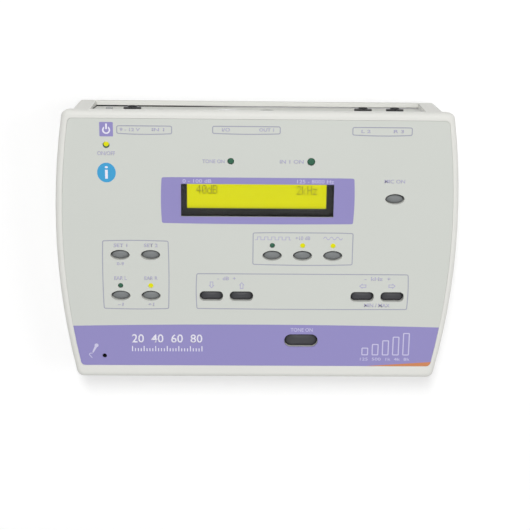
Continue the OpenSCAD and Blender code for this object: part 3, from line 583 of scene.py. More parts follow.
def striped(name, base, stripe, count, share, roughness):
    """Stripes across x: share of each period shows the second colour."""
    material, tree, principled = shader(name)
    across = where_on(tree, "X")
    phase = maths(tree, "FRACT", maths(tree, "MULTIPLY", across, count))
    colour = mix(tree, maths(tree, "LESS_THAN", phase, share), base, stripe)
    look = grained(tree, colour, 1800.0, 40.0, 0.04, roughness)
    ridge = maths(tree, "SINE", maths(tree, "MULTIPLY", across, count * 2 * math.pi))
    surface(tree, principled, look, ridge, 0.5, 0.1 * MM)
    return material


ribbon_grey = striped("ribbon_grey", paint(150, 150, 148), paint(120, 120, 120), 787.0, 0.25, 0.55)
sleeve_blue = striped("sleeve_blue", paint(24, 24, 60), paint(170, 172, 180), 60.0, 0.12, 0.3)
print("materials:", len(bpy.data.materials))

# %% [markdown]
# ## Painting the CAD nodes
# Nodes whose shape is right stay as they are and only change their finish. The record
# names each node's slot, so a table from slot to material paints all of them.

# %% Paint every CAD node
SLOT_FINISH = {
    "tub_plastic": tub_plastic, "cover_plastic": cover_plastic, "film": film_print, "lens": clear_lens,
    "dark_frame": frame_paint, "lcd": display_glow, "board": board_green, "black_plastic": black_plastic,
    "screw_steel": screw_steel, "oval_key": oval_rubber, "step_key": step_rubber, "lit_lamp": lamp_glow,
    "dark_lamp": green_lamp, "socket_metal": shell_steel, "rubber": foot_rubber,
    "panel_plastic": plate_plastic, "button_grey": button_plastic, "capacitor": sleeve_blue,
    "ribbon": ribbon_grey}
slot_of = {part["node"]: part["material_slot"] for part in frame["record"]["subparts"]}
body_of = {n: body for body, members in frame["record"]["behaviour"]["bodies"].items() for n in members}
for name, obj in nodes.items():
    if not obj.material_slots:
        obj.data.materials.append(None)
    for material_slot in obj.material_slots:
        material_slot.material = SLOT_FINISH[slot_of[name]]
print("painted", len(nodes), "nodes in", len(set(slot_of.values())), "finishes")


def stand_in(piece, node, smooth=None, material=None):
    """Lets a finished piece stand for a CAD node, with the node's finish and body."""
    finish = material or SLOT_FINISH[slot_of[node]]
    settle(piece, node.replace("_", "-"), finish, body_of[node], smooth)
    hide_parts(node)

# %% [markdown]
# ## Housing with softened edges
# A moulded case has no sharp edge anywhere: each corner has a radius of a few tenths of a
# millimetre, and that is what draws its outline in the light. The CAD mesh is loose
# triangles, so a copy is merged, its flat triangles are joined, and its sharp edges get a
# narrow bevel. The copy then stands for the node.

# %% Remake a CAD node with softened edges
def remake(node, soften, sharp=50, smooth=35, first=None):
    """A merged copy, softened by millimetres, that stands for the CAD node; first may shape it."""
    copy = twin(nodes[node])
    for key in list(copy.keys()):
        del copy[key]
    copy.parent = None
    copy.hide_render = copy.hide_viewport = False
    pick(copy)
    if copy.data.has_custom_normals:
        bpy.ops.mesh.customdata_custom_splitnormals_clear()
    open_faces(copy)
    bpy.ops.mesh.remove_doubles(threshold=2e-6)
    bpy.ops.mesh.dissolve_limited(angle_limit=math.radians(0.3))
    close()
    if first:
        first(copy)
    modify(copy, "BEVEL", width=soften * MM, segments=2, limit_method="ANGLE", angle_limit=math.radians(sharp),
           use_clamp_overlap=True, miter_outer="MITER_ARC")
    stand_in(copy, node, smooth)
    modify(copy, "WEIGHTED_NORMAL", keep_sharp=True)
    print(node, "->", len(copy.data.polygons), "faces")


# %% Cover, tub, connector plate and film
RECESS_LIP = 0.35 * MM
FILM_SPREAD = (1.0008, 1.0011, 1)
FILM_MIDDLE = PANEL @ Vector((0, -92.5 * MM, FILM_TOP))
PLATE_LIFT = 2.6 * MM


def round_recess(piece):
    """Gives the upper edge of the film's recess the soft lip that runs round the panel."""
    edit(piece, "EDGE")
    bpy.ops.mesh.edges_select_sharp(sharpness=math.radians(60))
    close()
    corners = piece.data.vertices
    for edge in piece.data.edges:
        edge.select = edge.select and all(abs((LEVEL @ corners[i].co).z) < 1e-5 for i in edge.vertices)
    bpy.ops.object.mode_set(mode="EDIT")
    bpy.ops.mesh.bevel(offset=RECESS_LIP, segments=4, affect="EDGES", clamp_overlap=True)
    close()


def raise_film(piece):
    """Lifts the film's upper face almost level with the rim, and spreads it 0.1 mm over the gap."""
    open_faces(piece, lambda face: abs((LEVEL @ face.center).z - CAD_FILM_TOP) < 1e-5)
    bpy.ops.transform.translate(value=PANEL.to_3x3() @ Vector((0, 0, FILM_TOP - CAD_FILM_TOP)))
    bpy.ops.transform.resize(value=FILM_SPREAD, center_override=FILM_MIDDLE)
    close()


def raise_plate(piece):
    """Lifts the upper edge of the connector plate until it meets the seam under the cover."""
    open_faces(piece, lambda face: face.normal.z > 0.99 and face.center.z > 45 * MM)
    bpy.ops.transform.translate(value=(0, 0, PLATE_LIFT))
    close()


remake("top_cover", 0.3, first=round_recess)
remake("base_shell", 0.4)
remake("rear_panel", 0.3, first=raise_plate)
remake("panel_film", 0.1, sharp=60, first=raise_film)

# %% [markdown]
# ## Keys
# The keys are silicone caps with a crowned top and a rounded shoulder. Each grows from its
# own outline: an ellipse for the oval ones, a plane with bevelled corners for the others.
# The outline is pushed down to form the skirt, widened to the flange that holds the key
# under the cover, and drawn in to the round stem that enters its switch. The top is
# crowned ring by ring, and a bevel rounds the shoulder.

# %% Flat shapes to start from
UNIT = 500  # millimetres of radius: a disc one metre wide, to be scaled afterwards


def rounded(wide, high, corner, segments):
    """A flat rectangle round the origin, with rounded corners where corner is given."""
    bpy.ops.mesh.primitive_plane_add(size=1)
    piece = bpy.context.object
    piece.scale = (wide, high, 1)
    place(piece)
    if corner:
        open_parts(piece, "VERT", lambda point: True)
        bpy.ops.mesh.bevel(offset=corner, offset_type="OFFSET", segments=segments, affect="VERTICES")
        close()
    return piece


def disc(radius, sides=48):
    """A flat disc round the origin, its radius in millimetres."""
    bpy.ops.mesh.primitive_circle_add(vertices=sides, radius=radius * MM, fill_type="NGON")
    return bpy.context.object


def grow(rise, wide=1.0, deep=1.0):
    """Extrudes what is selected by rise, and then scales it across and along."""
    bpy.ops.mesh.extrude_region_move(TRANSFORM_OT_translate={"value": (0, 0, rise)})
    if (wide, deep) != (1.0, 1.0):
        bpy.ops.transform.resize(value=(wide, deep, 1.0), center_override=(0, 0, 0))


# %% One way to make every key
KEY_TOP, FLANGE_TOP, FLANGE_UNDER, STEM_END = -1.4 * MM, -4.1 * MM, -5.1 * MM, -9.6 * MM
STEM_RADIUS = 1.7 * MM
FLANGE_WIDER, FLANGE_DEEPER = 2.2 * MM, 2.7 * MM
SLACK = 0.05 * MM
CROWN_RINGS = (0.94, 0.8, 0.62, 0.42, 0.2)
RIM_FROM = 0.42


def key_cap(node, *sizes):
    """A crowned key standing for the CAD key: length, height, corner, crown, shoulder in mm."""
    length, height, corner, crown, shoulder = (size * MM for size in sizes)
    if corner:
        cap = rounded(length, height, corner, 10)
    else:
        cap = disc(UNIT, 72)
        cap.scale = (length, height, 1)
        place(cap)
    rim = KEY_TOP - crown
    place(cap, Matrix.Translation((0, 0, rim)))
    open_faces(cap)
    grow(FLANGE_TOP - rim)
    close()
    outwards(cap)
    open_faces(cap, lambda face: face.normal.z < -0.9)
    wider, deeper = (length + FLANGE_WIDER) / length, (height + FLANGE_DEEPER) / height
    grow(0, wider, deeper)
    grow(FLANGE_UNDER - FLANGE_TOP)
    grow(0, 2 * STEM_RADIUS / (length * wider), 2 * STEM_RADIUS / (height * deeper))
    bpy.ops.transform.tosphere(value=1.0)
    grow(STEM_END - FLANGE_UNDER)
    close()
    open_faces(cap, lambda face: face.normal.z > 0.9 and face.center.z > rim - 1e-5)
    last = 1.0
    for share in CROWN_RINGS:
        lift = crown * (1 - share ** 2)
        before = crown * (1 - last ** 2)
        grow(lift - before, share / last, share / last)
        last = share
    close()
    outwards(cap)
    open_parts(cap, "EDGE", lambda a, b: max(abs(a.z - rim), abs(b.z - rim)) < 1e-6
               and min(abs(a.x) / length + abs(a.y) / height, abs(b.x) / length + abs(b.y) / height) > RIM_FROM)
    bpy.ops.mesh.bevel(offset=shoulder, segments=4, affect="EDGES")
    close()
    place(cap, over(node) @ Matrix.Translation((SLACK, -2 * SLACK, 0)))
    stand_in(cap, node, 50)


# %% The thirteen keys
KEYS = (  # length, height, corner radius or 0 for an ellipse, crown, shoulder
    ((11.8, 5.9, 0, 1.3, 0.4), ("menu_key", "print_key", "left_key", "right_key", "pulse_key", "boost_key",
                                "warble_key", "talk_key")),
    ((14.7, 5.7, 2.5, 1.2, 0.45), ("level_down_key", "level_up_key", "pitch_down_key", "pitch_up_key")),
    ((21.8, 8.1, 4.0, 1.2, 0.5), ("present_key",)))
for sizes, names in KEYS:
    for node in names:
        key_cap(node, *sizes)
print("keys:", sum(len(names) for sizes, names in KEYS))

# %% [markdown]
# ## Thin printed sheets
# Each printed mark stands for a layer of ink on the film. It is modelled as a flat outline
# that gets 0.05 mm of thickness and is set 0.01 mm into the film, so that it casts no gap
# and stays a closed solid. The frames on this panel have sides that bow out a little:
# proportional editing with an inverse square falloff pulls a side out as a parabola.

# %% Flat outlines with bowed sides
INK_THICK, ON_FILM, ON_INK = 0.05, FILM_TOP - 0.01 * MM, FILM_TOP + 0.03 * MM


def bow(piece, side, depth, reach):
    """Pulls the middle of one side of a flat outline outwards; side is a unit vector."""
    push = Vector(side)
    far = max(v.co.dot(push) for v in piece.data.vertices)
    open_parts(piece, "EDGE", lambda a, b: min(a.dot(push), b.dot(push)) > far - 1e-6)
    bpy.ops.mesh.subdivide(number_cuts=15)
    close()
    across = Vector((push.y, push.x, 0))
    open_parts(piece, "VERT", lambda point: point.dot(push) > far - 1e-6 and abs(point.dot(across)) < 1e-6)
    bpy.ops.transform.translate(value=push * depth, use_proportional_edit=True, use_proportional_connected=True,
                                proportional_edit_falloff="INVERSE_SQUARE", proportional_size=reach)
    close()


def sheet(*sizes):
    """A flat sheet in millimetres: width, height, corner radius, bow of long and short sides."""
    wide, high, corner, bow_high, bow_wide = (size * MM for size in (*sizes, 0, 0, 0)[:5])
    piece = rounded(wide, high, corner, 5)
    for turn in (1, -1):
        if bow_high:
            bow(piece, (0, turn, 0), bow_high, wide / 2 - corner)
        if bow_wide:
            bow(piece, (turn, 0, 0), bow_wide, high / 2 - corner)
    return piece


def fit(piece, wide, high):
    """Centres a flat piece and scales it to this width and height in millimetres."""
    pick(piece)
    bpy.ops.object.origin_set(type="ORIGIN_GEOMETRY", center="BOUNDS")
    piece.location = (0, 0, 0)
    piece.scale = (wide * MM / piece.dimensions.x, high * MM / piece.dimensions.y, 1)
    return place(piece)


def hollow(piece, line):
    """Leaves only a border of this width in millimetres."""
    open_faces(piece)
    bpy.ops.mesh.inset(thickness=line * MM, depth=0)
    bpy.ops.mesh.delete(type="ONLY_FACE")
    close()
    return piece


def thicken(piece, thick=INK_THICK):
    """Gives a flat piece this thickness in millimetres."""
    open_faces(piece)
    bpy.ops.mesh.remove_doubles(threshold=2e-6)
    close()
    modify(piece, "SOLIDIFY", thickness=thick * MM, offset=1.0)
    outwards(piece)
    return piece


def lay(piece, u, v, w=ON_FILM):
    """Sets a sheet down at a place on the panel, u and v in millimetres."""
    return place(piece, PANEL @ Matrix.Translation((u * MM, v * MM, w)))


# %% [markdown]
# ## Frames round the key groups
# Thin lilac frames tie each group of keys, and each row of rear sockets, together. One
# line width serves all of them; only size, place and bow differ.

# %% Lilac frames
LINE, FRAME_CORNER = 0.62, 1.3
FRAMES = {  # centre across and along the slope, width, height, bow of the long sides, of the short sides
    "left sockets": (-73.9, -12.7, 36.0, 5.6, 0.5, 0.0),
    "middle sockets": (-7.9, -12.35, 44.3, 5.3, 0.4, 0.0),
    "right sockets": (80.3, -12.5, 39.2, 5.6, 0.5, 0.0),
    "tone keys": (30.35, -92.65, 66.9, 22.5, 0.5, 0.0),
    "left keys": (-80.75, -111.55, 43.9, 48.1, 0.4, 0.4),
    "step keys": (30.65, -122.75, 142.3, 25.3, 0.3, 0.4)}
frames = [lay(thicken(hollow(sheet(wide, high, FRAME_CORNER, bow_high, bow_wide), LINE)), u, v)
          for u, v, wide, high, bow_high, bow_wide in FRAMES.values()]
settle(join(frames), "key-frames", ink["line_ink"])
print("frames:", len(FRAMES))

# %% [markdown]
# ## Violet surround of the display
# The display sits in a violet field with bowed sides. Its opening is the film's window, so
# a block of the window's size is taken away from the bowed sheet with a Boolean.

# %% Display surround
CUT_TALL = 10


def cut(piece, wide, high, x=0.0, y=0.0, turn=0.0, low=-CUT_TALL / 2):
    """Takes away an upright block that stands on the height low; sizes in millimetres."""
    middle = (x * MM, y * MM, (low + CUT_TALL / 2) * MM)
    bpy.ops.mesh.primitive_cube_add(size=1, location=middle, rotation=(0, 0, turn))
    cutter = bpy.context.object
    cutter.scale = (wide * MM, high * MM, CUT_TALL * MM)
    bpy.context.view_layer.update()
    carve(piece, cutter)


FIELD_U, FIELD_V = 0.05, -59.7
WINDOW_U, WINDOW_V, WINDOW_WIDE, WINDOW_HIGH = -0.2, -59.6, 100.5, 22.2
field = thicken(sheet(126.3, 31.1, 1.2, 0.45, 0.5))
cut(field, WINDOW_WIDE, WINDOW_HIGH, WINDOW_U - FIELD_U, WINDOW_V - FIELD_V)
settle(lay(field, FIELD_U, FIELD_V), "display-surround", ink["violet_ink"])
print("surround", [round(c * 1000, 1) for c in field.dimensions])

# %% [markdown]
# ## Captions
# The captions here are plain marks, numbers and units, in a light sans serif. Each one is
# made as text, turned into a mesh, centred, and scaled to the width and height of its
# place, which gives the slightly wide letters that such panels have. All captions in one
# ink are joined into one piece.

# %% Caption helper
def letters(text, wide, high, weight=0.0):
    """Text as a flat mesh round the origin, this wide and this high in millimetres."""
    bpy.ops.object.text_add()
    piece = bpy.context.object
    piece.data.body = text
    piece.data.size = 1.4 * high * MM
    piece.data.offset = weight * MM
    piece.data.resolution_u = 3
    pick(piece)
    bpy.ops.object.convert(target="MESH")
    return thicken(fit(bpy.context.object, wide, high))


def captions(name, finish, weight, lines):
    """One piece from many captions: (text, u, v, width, height)."""
    words = [lay(letters(text, wide, high, weight), u, v, ON_INK) for text, u, v, wide, high in lines]
    settle(join(words), name, finish)
    print(name, len(words))


# %% Lilac captions
captions("captions-lilac", ink["lilac_ink"], 0.04, [
    ("9 - 12 V", -83.2, -12.6, 12.9, 2.1), ("IN 1", -65.0, -12.5, 8.0, 2.1),
    ("I/O", -21.1, -12.2, 5.2, 2.3), ("OUT 1", 5.1, -12.1, 9.6, 2.1),
    ("L 2", 69.6, -12.5, 6.0, 2.1), ("R 3", 90.9, -12.4, 6.6, 2.1), ("ON/OFF", -98.7, -28.4, 11.6, 2.6),
    ("TONE ON", -29.2, -33.2, 14.4, 2.5), ("IN 1 ON", 21.8, -33.1, 15.5, 2.5),
    ("MIC ON", 89.7, -45.9, 13.5, 2.5), ("+10 dB", 30.2, -85.1, 9.8, 2.5),
    ("SET 1", -90.7, -90.9, 9.0, 2.4), ("SET 2", -70.6, -90.8, 9.0, 2.4), ("0-9", -90.9, -103.7, 4.8, 2.2),
    ("EAR L", -91.0, -113.8, 8.4, 2.5), ("EAR R", -70.7, -113.7, 8.8, 2.5),
    ("-1", -91.2, -132.4, 3.6, 2.2), ("+1", -70.8, -132.3, 3.9, 2.2),
    ("-  dB  +", -20.3, -113.6, 12.4, 2.5), ("-  kHz  +", 81.0, -113.4, 17.5, 2.6),
    ("MIN / MAX", 81.3, -132.3, 17.3, 2.6)])

# %% Pale captions
captions("captions-pale", ink["pale_ink"], 0.0, [
    ("0 - 100 dB", -39.9, -46.5, 18.8, 2.4), ("125 - 8000 Hz", 37.7, -46.4, 24.1, 2.4),
    ("TONE ON", 30.8, -150.2, 14.9, 2.6)])

# %% [markdown]
# ## Small drawn signs
# The pulse, the wave and the cable of the microphone sign are lines of one width. `stroke`
# draws them as a turtle would: it turns the end edge by half the angle, widens it to a
# mitre, extrudes it, and turns and narrows it back. An arrow is a triangle whose base edge
# is cut in three, with the middle third extruded to a shaft, and then hollowed to an outline.

# %% Line and arrow helpers
SHAFT_WIDER, SHAFT_LONG = 1.75, 1.7


def stroke(line, moves):
    """A line, in millimetres, drawn from moves: each is (turn in degrees, length)."""
    line = line * MM
    bpy.ops.mesh.primitive_plane_add(size=line)
    piece = bpy.context.object
    heading, tip = 0.0, Vector((line / 2, 0, 0))
    for turn, length in moves:
        half = math.radians(turn) / 2
        heading += 2 * half
        step = Vector((math.cos(heading), math.sin(heading), 0)) * length * MM
        open_parts(piece, "EDGE", lambda a, b: ((a + b) / 2 - tip).length < 1e-6)
        wider = 1 / math.cos(half)
        bpy.ops.transform.rotate(value=-half, orient_axis="Z", center_override=tip)
        bpy.ops.transform.resize(value=(wider, wider, 1), center_override=tip)
        bpy.ops.mesh.extrude_region_move(TRANSFORM_OT_translate={"value": step})
        tip = tip + step
        bpy.ops.transform.rotate(value=-half, orient_axis="Z", center_override=tip)
        bpy.ops.transform.resize(value=(1 / wider, 1 / wider, 1), center_override=tip)
        close()
    return piece


def spin(piece, degrees):
    """Turns a level piece round the origin."""
    return place(piece, Matrix.Rotation(math.radians(degrees), 4, "Z"))


def arrow(wide, high, line):
    """An arrow outline that points up the slope, in millimetres."""
    piece = disc(1, 3)
    base = min(v.co.y for v in piece.data.vertices)
    open_parts(piece, "EDGE", lambda a, b: max(a.y, b.y) < base + 1e-6)
    bpy.ops.mesh.subdivide(number_cuts=2)
    close()
    open_parts(piece, "EDGE", lambda a, b: max(a.y, b.y) < base + 1e-6 and abs(a.x + b.x) < 1e-6)
    bpy.ops.transform.resize(value=(SHAFT_WIDER, 1, 1), center_override=(0, base, 0))
    bpy.ops.mesh.extrude_region_move(TRANSFORM_OT_translate={"value": (0, -SHAFT_LONG * MM, 0)})
    close()
    open_faces(piece)
    bpy.ops.mesh.dissolve_faces()
    close()
    return hollow(fit(piece, wide, high), line)


# %% Signs in lilac
SIGN_LINE = 0.42
pulse = fit(stroke(SIGN_LINE, 5 * [(0, 1.1), (90, 2.2), (-90, 2.0), (-90, 2.2), (90, 1.1)]), 24.0, 2.4)
ripple = fit(stroke(SIGN_LINE, [(60, 0.2)] + 3 * (6 * [(-20, 0.5)] + 6 * [(20, 0.5)])), 12.9, 2.3)
signs = [lay(thicken(pulse), 10.4, -85.4), lay(thicken(ripple), 50.2, -85.2)]
ARROWS = ((-30.3, -118.3, 180), (-10.1, -118.6, 0), (71.2, -118.6, 90), (91.0, -118.5, -90))
for u, v, turn in ARROWS:
    signs.append(lay(spin(thicken(arrow(3.9, 4.8, 0.5)), turn), u, v))
settle(join(signs), "panel-signs", ink["lilac_ink"])
print("signs:", len(signs))

# %% [markdown]
# ## Standby sign, instruction sign and microphone sign
# Behind the power button stands the usual standby sign, a ring with a gap and a bar, in
# white on a violet tile. Below it is a blue disc with a plain letter i. The small slanted
# microphone beside the sound hole is a disc and a tapering strip merged by a Boolean, with
# its cable as a stroke.

# %% Standby sign
POWER_U, POWER_V = -98.4, -12.5
settle(lay(thicken(sheet(8.8, 9.5, 0.6)), POWER_U, POWER_V), "standby-tile", ink["violet_ink"])
ring = thicken(hollow(disc(2.6), 0.95))
cut(ring, 2.6, 3, 0, 2.4)
upright = thicken(sheet(1.15, 3.7, 0.2))
standby = [lay(ring, POWER_U, POWER_V - 0.5, ON_INK), lay(upright, POWER_U, POWER_V + 1.9, ON_INK)]
settle(join(standby), "standby-sign", ink["white_ink"])

# %% Instruction disc
DISC_U, DISC_V = -98.8, -41.3
settle(lay(thicken(fit(disc(UNIT, 64), 12.1, 13.2)), DISC_U, DISC_V), "instruction-disc", ink["blue_ink"])
letter = lay(letters("i", 2.1, 8.4), DISC_U, DISC_V + 0.1, ON_INK)
settle(letter, "instruction-letter", ink["white_ink"])

# %% Microphone sign
MIC_U, MIC_V = -110.5, -166.5
HANDLE_LONG = 5.8
head = thicken(disc(1.35, 32))
handle = sheet(1.8, HANDLE_LONG)
handle_end = (0, -HANDLE_LONG / 2 * MM, 0)
open_parts(handle, "EDGE", lambda a, b: max(a.y, b.y) < 0)
bpy.ops.transform.resize(value=(0.5, 1, 1), center_override=handle_end)
close()
carve(head, place(thicken(handle), Matrix.Translation(handle_end)), "UNION")
spin(head, -27)
cable = spin(thicken(stroke(0.5, [(0, 0.6), (10, 0.5), (30, 0.5), (35, 0.5), (35, 0.5), (20, 2.6)])), 180)
sign = [lay(head, MIC_U + 2.3, MIC_V + 4.4), lay(cable, MIC_U - 0.8, MIC_V - 1.3)]
settle(join(sign), "microphone-sign", ink["pale_ink"])
print("standby, instruction and microphone signs done")

# %% [markdown]
# ## Scale and bars in the violet band
# The band carries a large white scale of plain numbers with ticks at the left, and five
# outlined bars that rise like a level display at the right, with small numbers under them.
# One tick and one bar are made and repeated by loops.

# %% Number scale and level bars
SCALE_U, SCALE_WIDE, TICKS, TICK_FOOT = -60.3, 47.1, 25, -166.2
scale = [lay(letters("20  40  60  80", 47.7, 6.2, 0.1), SCALE_U, -156.9)]
for k in range(TICKS):
    tall = 3.8 if k % 4 == 0 else 2.2
    tick = thicken(sheet(0.6, tall))
    scale.append(lay(tick, SCALE_U + SCALE_WIDE * (k / (TICKS - 1) - 0.5), TICK_FOOT + tall / 2))
settle(join(scale), "number-scale", ink["white_ink"])
BARS, BAR_U, BAR_PITCH, BAR_FOOT = 5, 74.3, 7, -168.5
bars = [lay(letters("125  500  1k  4k  8k", 34.0, 2.1), 88.2, -171.3)]
for k in range(BARS):
    tall = 5.6 + 2.7 * k
    bars.append(lay(thicken(hollow(sheet(4.6, tall, 0.7), 0.7)), BAR_U + BAR_PITCH * k, BAR_FOOT + tall / 2))
settle(join(bars), "level-bars", ink["pale_ink"])
print("scale ticks:", TICKS, "bars:", BARS)

# %% [markdown]
# ## Characters on the display
# The display writes with a grid of five by seven dots. One dot is modelled, and a small
# table of rows says where it is copied. The dots lie on the display glass, under the lens.

# %% Display characters
GLYPHS = {
    "4": "...#. ..##. .#.#. #..#. ##### ...#. ...#.", "0": ".###. #...# #..## #.#.# ##..# #...# .###.",
    "2": ".###. #...# ....# ...#. ..#.. .#... #####", "d": "....# ....# .##.# #..## #...# #...# .####",
    "B": "####. #...# #...# ####. #...# #...# ####.", "k": "#.... #.... #..#. #.#.. ##... #.#.. #..#.",
    "H": "#...# #...# #...# ##### #...# #...# #...#", "z": "..... ..... ##### ...#. ..#.. .#... #####"}
GLASS_TOP = -5.71 * MM
LETTER_PITCH, DOT_PITCH, ROW_PITCH = 3.55, 0.62, 0.84
dot = thicken(sheet(0.55, 0.76), 0.04)
dots = []
for text, left, top in (("40dB", -40.1, -51.1), ("2kHz", 25.9, -51.4)):
    for column, letter in enumerate(text):
        for row, line in enumerate(GLYPHS[letter].split()):
            for spot in (k for k, mark in enumerate(line) if mark == "#"):
                u = left + LETTER_PITCH * column + DOT_PITCH * spot
                dots.append(lay(twin(dot), u, top - ROW_PITCH * row, GLASS_TOP))
bpy.data.objects.remove(dot)
settle(join(dots), "display-dots", display_ink)
print("dots:", len(dots))

# %% [markdown]
# ## Signal lamps
# Each lamp is a small plastic dome in a round opening, with a narrow dark gap round it. A
# disc is extruded ring by ring, much as a lathe would turn it: collar, stem, shoulder and
# dome. The power lamp glows in its upper part only; its lower part is painted shade, a dark
# green where the opening's wall shades the dome, and a mask on Object coordinates says where
# the glow ends.

# %% Turned pieces
def turned(profile, sides=48):
    """A turned piece from rings of (radius, height) in millimetres, along z."""
    (radius, height), rings = profile[0], profile[1:]
    piece = place(disc(radius, sides), Matrix.Translation((0, 0, height * MM)))
    open_faces(piece)
    for wider, higher in rings:
        grow((higher - height) * MM, wider / radius, wider / radius)
        radius, height = wider, higher
    close()
    outwards(piece)
    return piece


# %% Glow and painted shade of the power lamp
# The glow is full near this point and gone a little further out; the rest of the dome is painted shade in dark
# green.
GLOW_MIDDLE = PANEL @ (Vector((-98.6, -22.1, -0.4)) * MM)
GLOW_END, GLOW_FULL = 1.9 * MM, 1.6 * MM
power_glow, tree, principled = shader("power_glow")
off = add(tree, "ShaderNodeVectorMath", {"operation": "DISTANCE"}, i0=where_on(tree), i1=GLOW_MIDDLE).outputs["Value"]
lit = ramp(tree, off, GLOW_END, GLOW_FULL)
look = grained(tree, LAMP_YELLOW, 1500.0, 40.0, 0.02, 0.3)
connect(tree, principled, Emission_Color=mix(tree, lit, paint(10, 20, 12), look["Colour"]),
        Base_Color=mix(tree, lit, LAMP_GREEN, LAMP_BASE), Roughness=look["Roughness"],
        Emission_Strength=LAMP_STRENGTH, Specular_IOR_Level=0.1)

# %% Lamps
LAMPS = {"power_lamp": 2.1, "tone_lamp": 2.1, "reply_lamp": 2.5, "left_key_lamp": 1.65, "right_key_lamp": 1.65,
         "pulse_lamp": 1.65, "boost_lamp": 1.65, "warble_lamp": 1.65}
LAMP_FOOT, LAMP_COLLAR, LAMP_SHOULDER, LAMP_TOP = -13.0, -4.6, -1.5, -0.25
COLLAR_OUT, SHOULDER_IN = 0.3, 0.25
DOME_RINGS = (1, 0.9, 0.75, 0.55, 0.3, 0.05)
for node, radius in LAMPS.items():
    collar, dome, ball = radius + COLLAR_OUT, radius - SHOULDER_IN, 2 * radius
    rings = [(dome * s, LAMP_TOP - ball + math.sqrt(ball ** 2 - (dome * s) ** 2)) for s in DOME_RINGS]
    lamp = turned([(collar, LAMP_FOOT), (collar, LAMP_COLLAR), (radius, LAMP_COLLAR), (radius, LAMP_SHOULDER),
                   (dome, LAMP_SHOULDER), *rings])
    stand_in(place(lamp, over(node)), node, 40, power_glow if node == "power_lamp" else None)
print("lamps:", len(LAMPS))

# %% [markdown]
# ## Sound hole of the microphone
# The little microphone of the operator sits under a small hole. Its rubber grommet reaches
# up into the hole as a sleeve, so the hole looks black all the way down, and a disc of felt
# keeps dust off the capsule. The grommet is turned, and two Booleans bore it.

# %% Grommet and felt
PLATE_UNDER, CAPSULE_TOP, CAPSULE = -4.0, -4.8, 3.0
GROMMET, GROMMET_FOOT, SLEEVE, SLEEVE_TOP = CAPSULE + 1.15, -9.2, 1.48, -0.75
sound_hole = over("microphone")
grommet = turned([(GROMMET, GROMMET_FOOT), (GROMMET, PLATE_UNDER), (SLEEVE, PLATE_UNDER),
                  (SLEEVE, SLEEVE_TOP - 0.1), (SLEEVE - 0.08, SLEEVE_TOP)])
for bore in ([(CAPSULE + 0.05, -10), (CAPSULE + 0.05, CAPSULE_TOP)], [(1.3, -6), (1.3, 0)]):
    carve(grommet, turned(bore))
stand_in(place(grommet, sound_hole), "mic_grommet", 40)
felt = turned([(1.15, CAPSULE_TOP), (1.25, CAPSULE_TOP + 0.05), (1.25, CAPSULE_TOP + 0.2), (1.1, CAPSULE_TOP + 0.3)])
settle(place(felt, sound_hole), "microphone-felt", foot_rubber, smooth=40)
print("sound hole at", [round(c * 1000, 1) for c in sound_hole.translation])

# %% [markdown]
# ## Jack sockets and their nuts
# The three jacks are moulded blocks with a threaded neck and a bore for the plug. The neck
# is turned with four thread ridges, merged with the block by a Boolean, and bored by a
# second one. Each round nut has a chamfer and two slots for its spanner. One of each is
# made lying flat and turned to look out of the rear wall.

# %% Jacks and nuts
REAR_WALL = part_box("rear_panel")[1].y
OUT_OF_REAR = Matrix.Rotation(math.radians(-90), 4, "X")
NECK, THREAD_ROOT, PLUG_BORE, NUT = 3.2, 2.95, 1.8, 5.85
THREAD_FOOT, THREAD_PITCH = 1.2, 0.18
JACK_HALF, JACK_BACK, JACK_FRONT = 5.5 * MM, -14 * MM, -2 * MM


def block(low, high):
    """A block between two corners."""
    bpy.ops.mesh.primitive_cube_add(size=1, location=[(a + b) / 2 for a, b in zip(low, high)])
    piece = bpy.context.object
    piece.scale = [b - a for a, b in zip(low, high)]
    return place(piece)


jack = block((-JACK_HALF, -JACK_HALF, JACK_BACK), (JACK_HALF, JACK_HALF, JACK_FRONT))
modify(jack, "BEVEL", width=0.4 * MM, segments=2)
ridges = [(NECK if k % 2 else THREAD_ROOT, THREAD_FOOT + THREAD_PITCH * k) for k in range(9)]
carve(jack, turned([(NECK, -3.0), (NECK, 1.1), *ridges, (2.9, 2.9)]), "UNION")
carve(jack, turned([(PLUG_BORE, -12.4), (PLUG_BORE, 2.5), (2.3, 3.1)]))
nut = turned([(NUT - 0.25, 0), (NUT, 0.25), (NUT, 1.7), (5.5, 2.0)])
carve(nut, turned([(NECK + 0.05, -1), (NECK + 0.05, 4)]))
for side in (1, -1):
    cut(nut, 1.6, 2.4, 0, side * NUT, low=0.6)
nuts = []
for node in ("reply_jack", "left_jack", "right_jack"):
    low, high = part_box(node)
    spot = Matrix.Translation(((low.x + high.x) / 2, REAR_WALL, (low.z + high.z) / 2)) @ OUT_OF_REAR
    stand_in(place(twin(jack), spot), node, 35)
    nuts.append(place(twin(nut), spot))
stand_in(join(nuts), "jack_nuts", 35)
for pattern in (jack, nut):
    bpy.data.objects.remove(pattern)
print("jacks and nuts:", len(nuts))

# %% [markdown]
# ## Screws, feet and the other sockets
# A screw is turned as shank and head, and two crossed blocks cut its recess. The plate's
# screws lie sunk in the plate, and the case screws look down from the deep holes in the
# tub. Feet are rubber discs with a dished sole. The remaining sockets only get their edges
# softened.

# %% Screws
def screw(head, thick, shank, length, span):
    """A cross-recessed screw in millimetres that looks up, with its face at z = 0."""
    piece = turned([(shank, -length), (shank, -thick), (head, -thick), (head, -0.2 * thick), (0.9 * head, 0)], 32)
    for turn in (0, 90):
        cut(piece, span, 0.25 * span, turn=math.radians(turn), low=-0.6 * thick)
    return piece


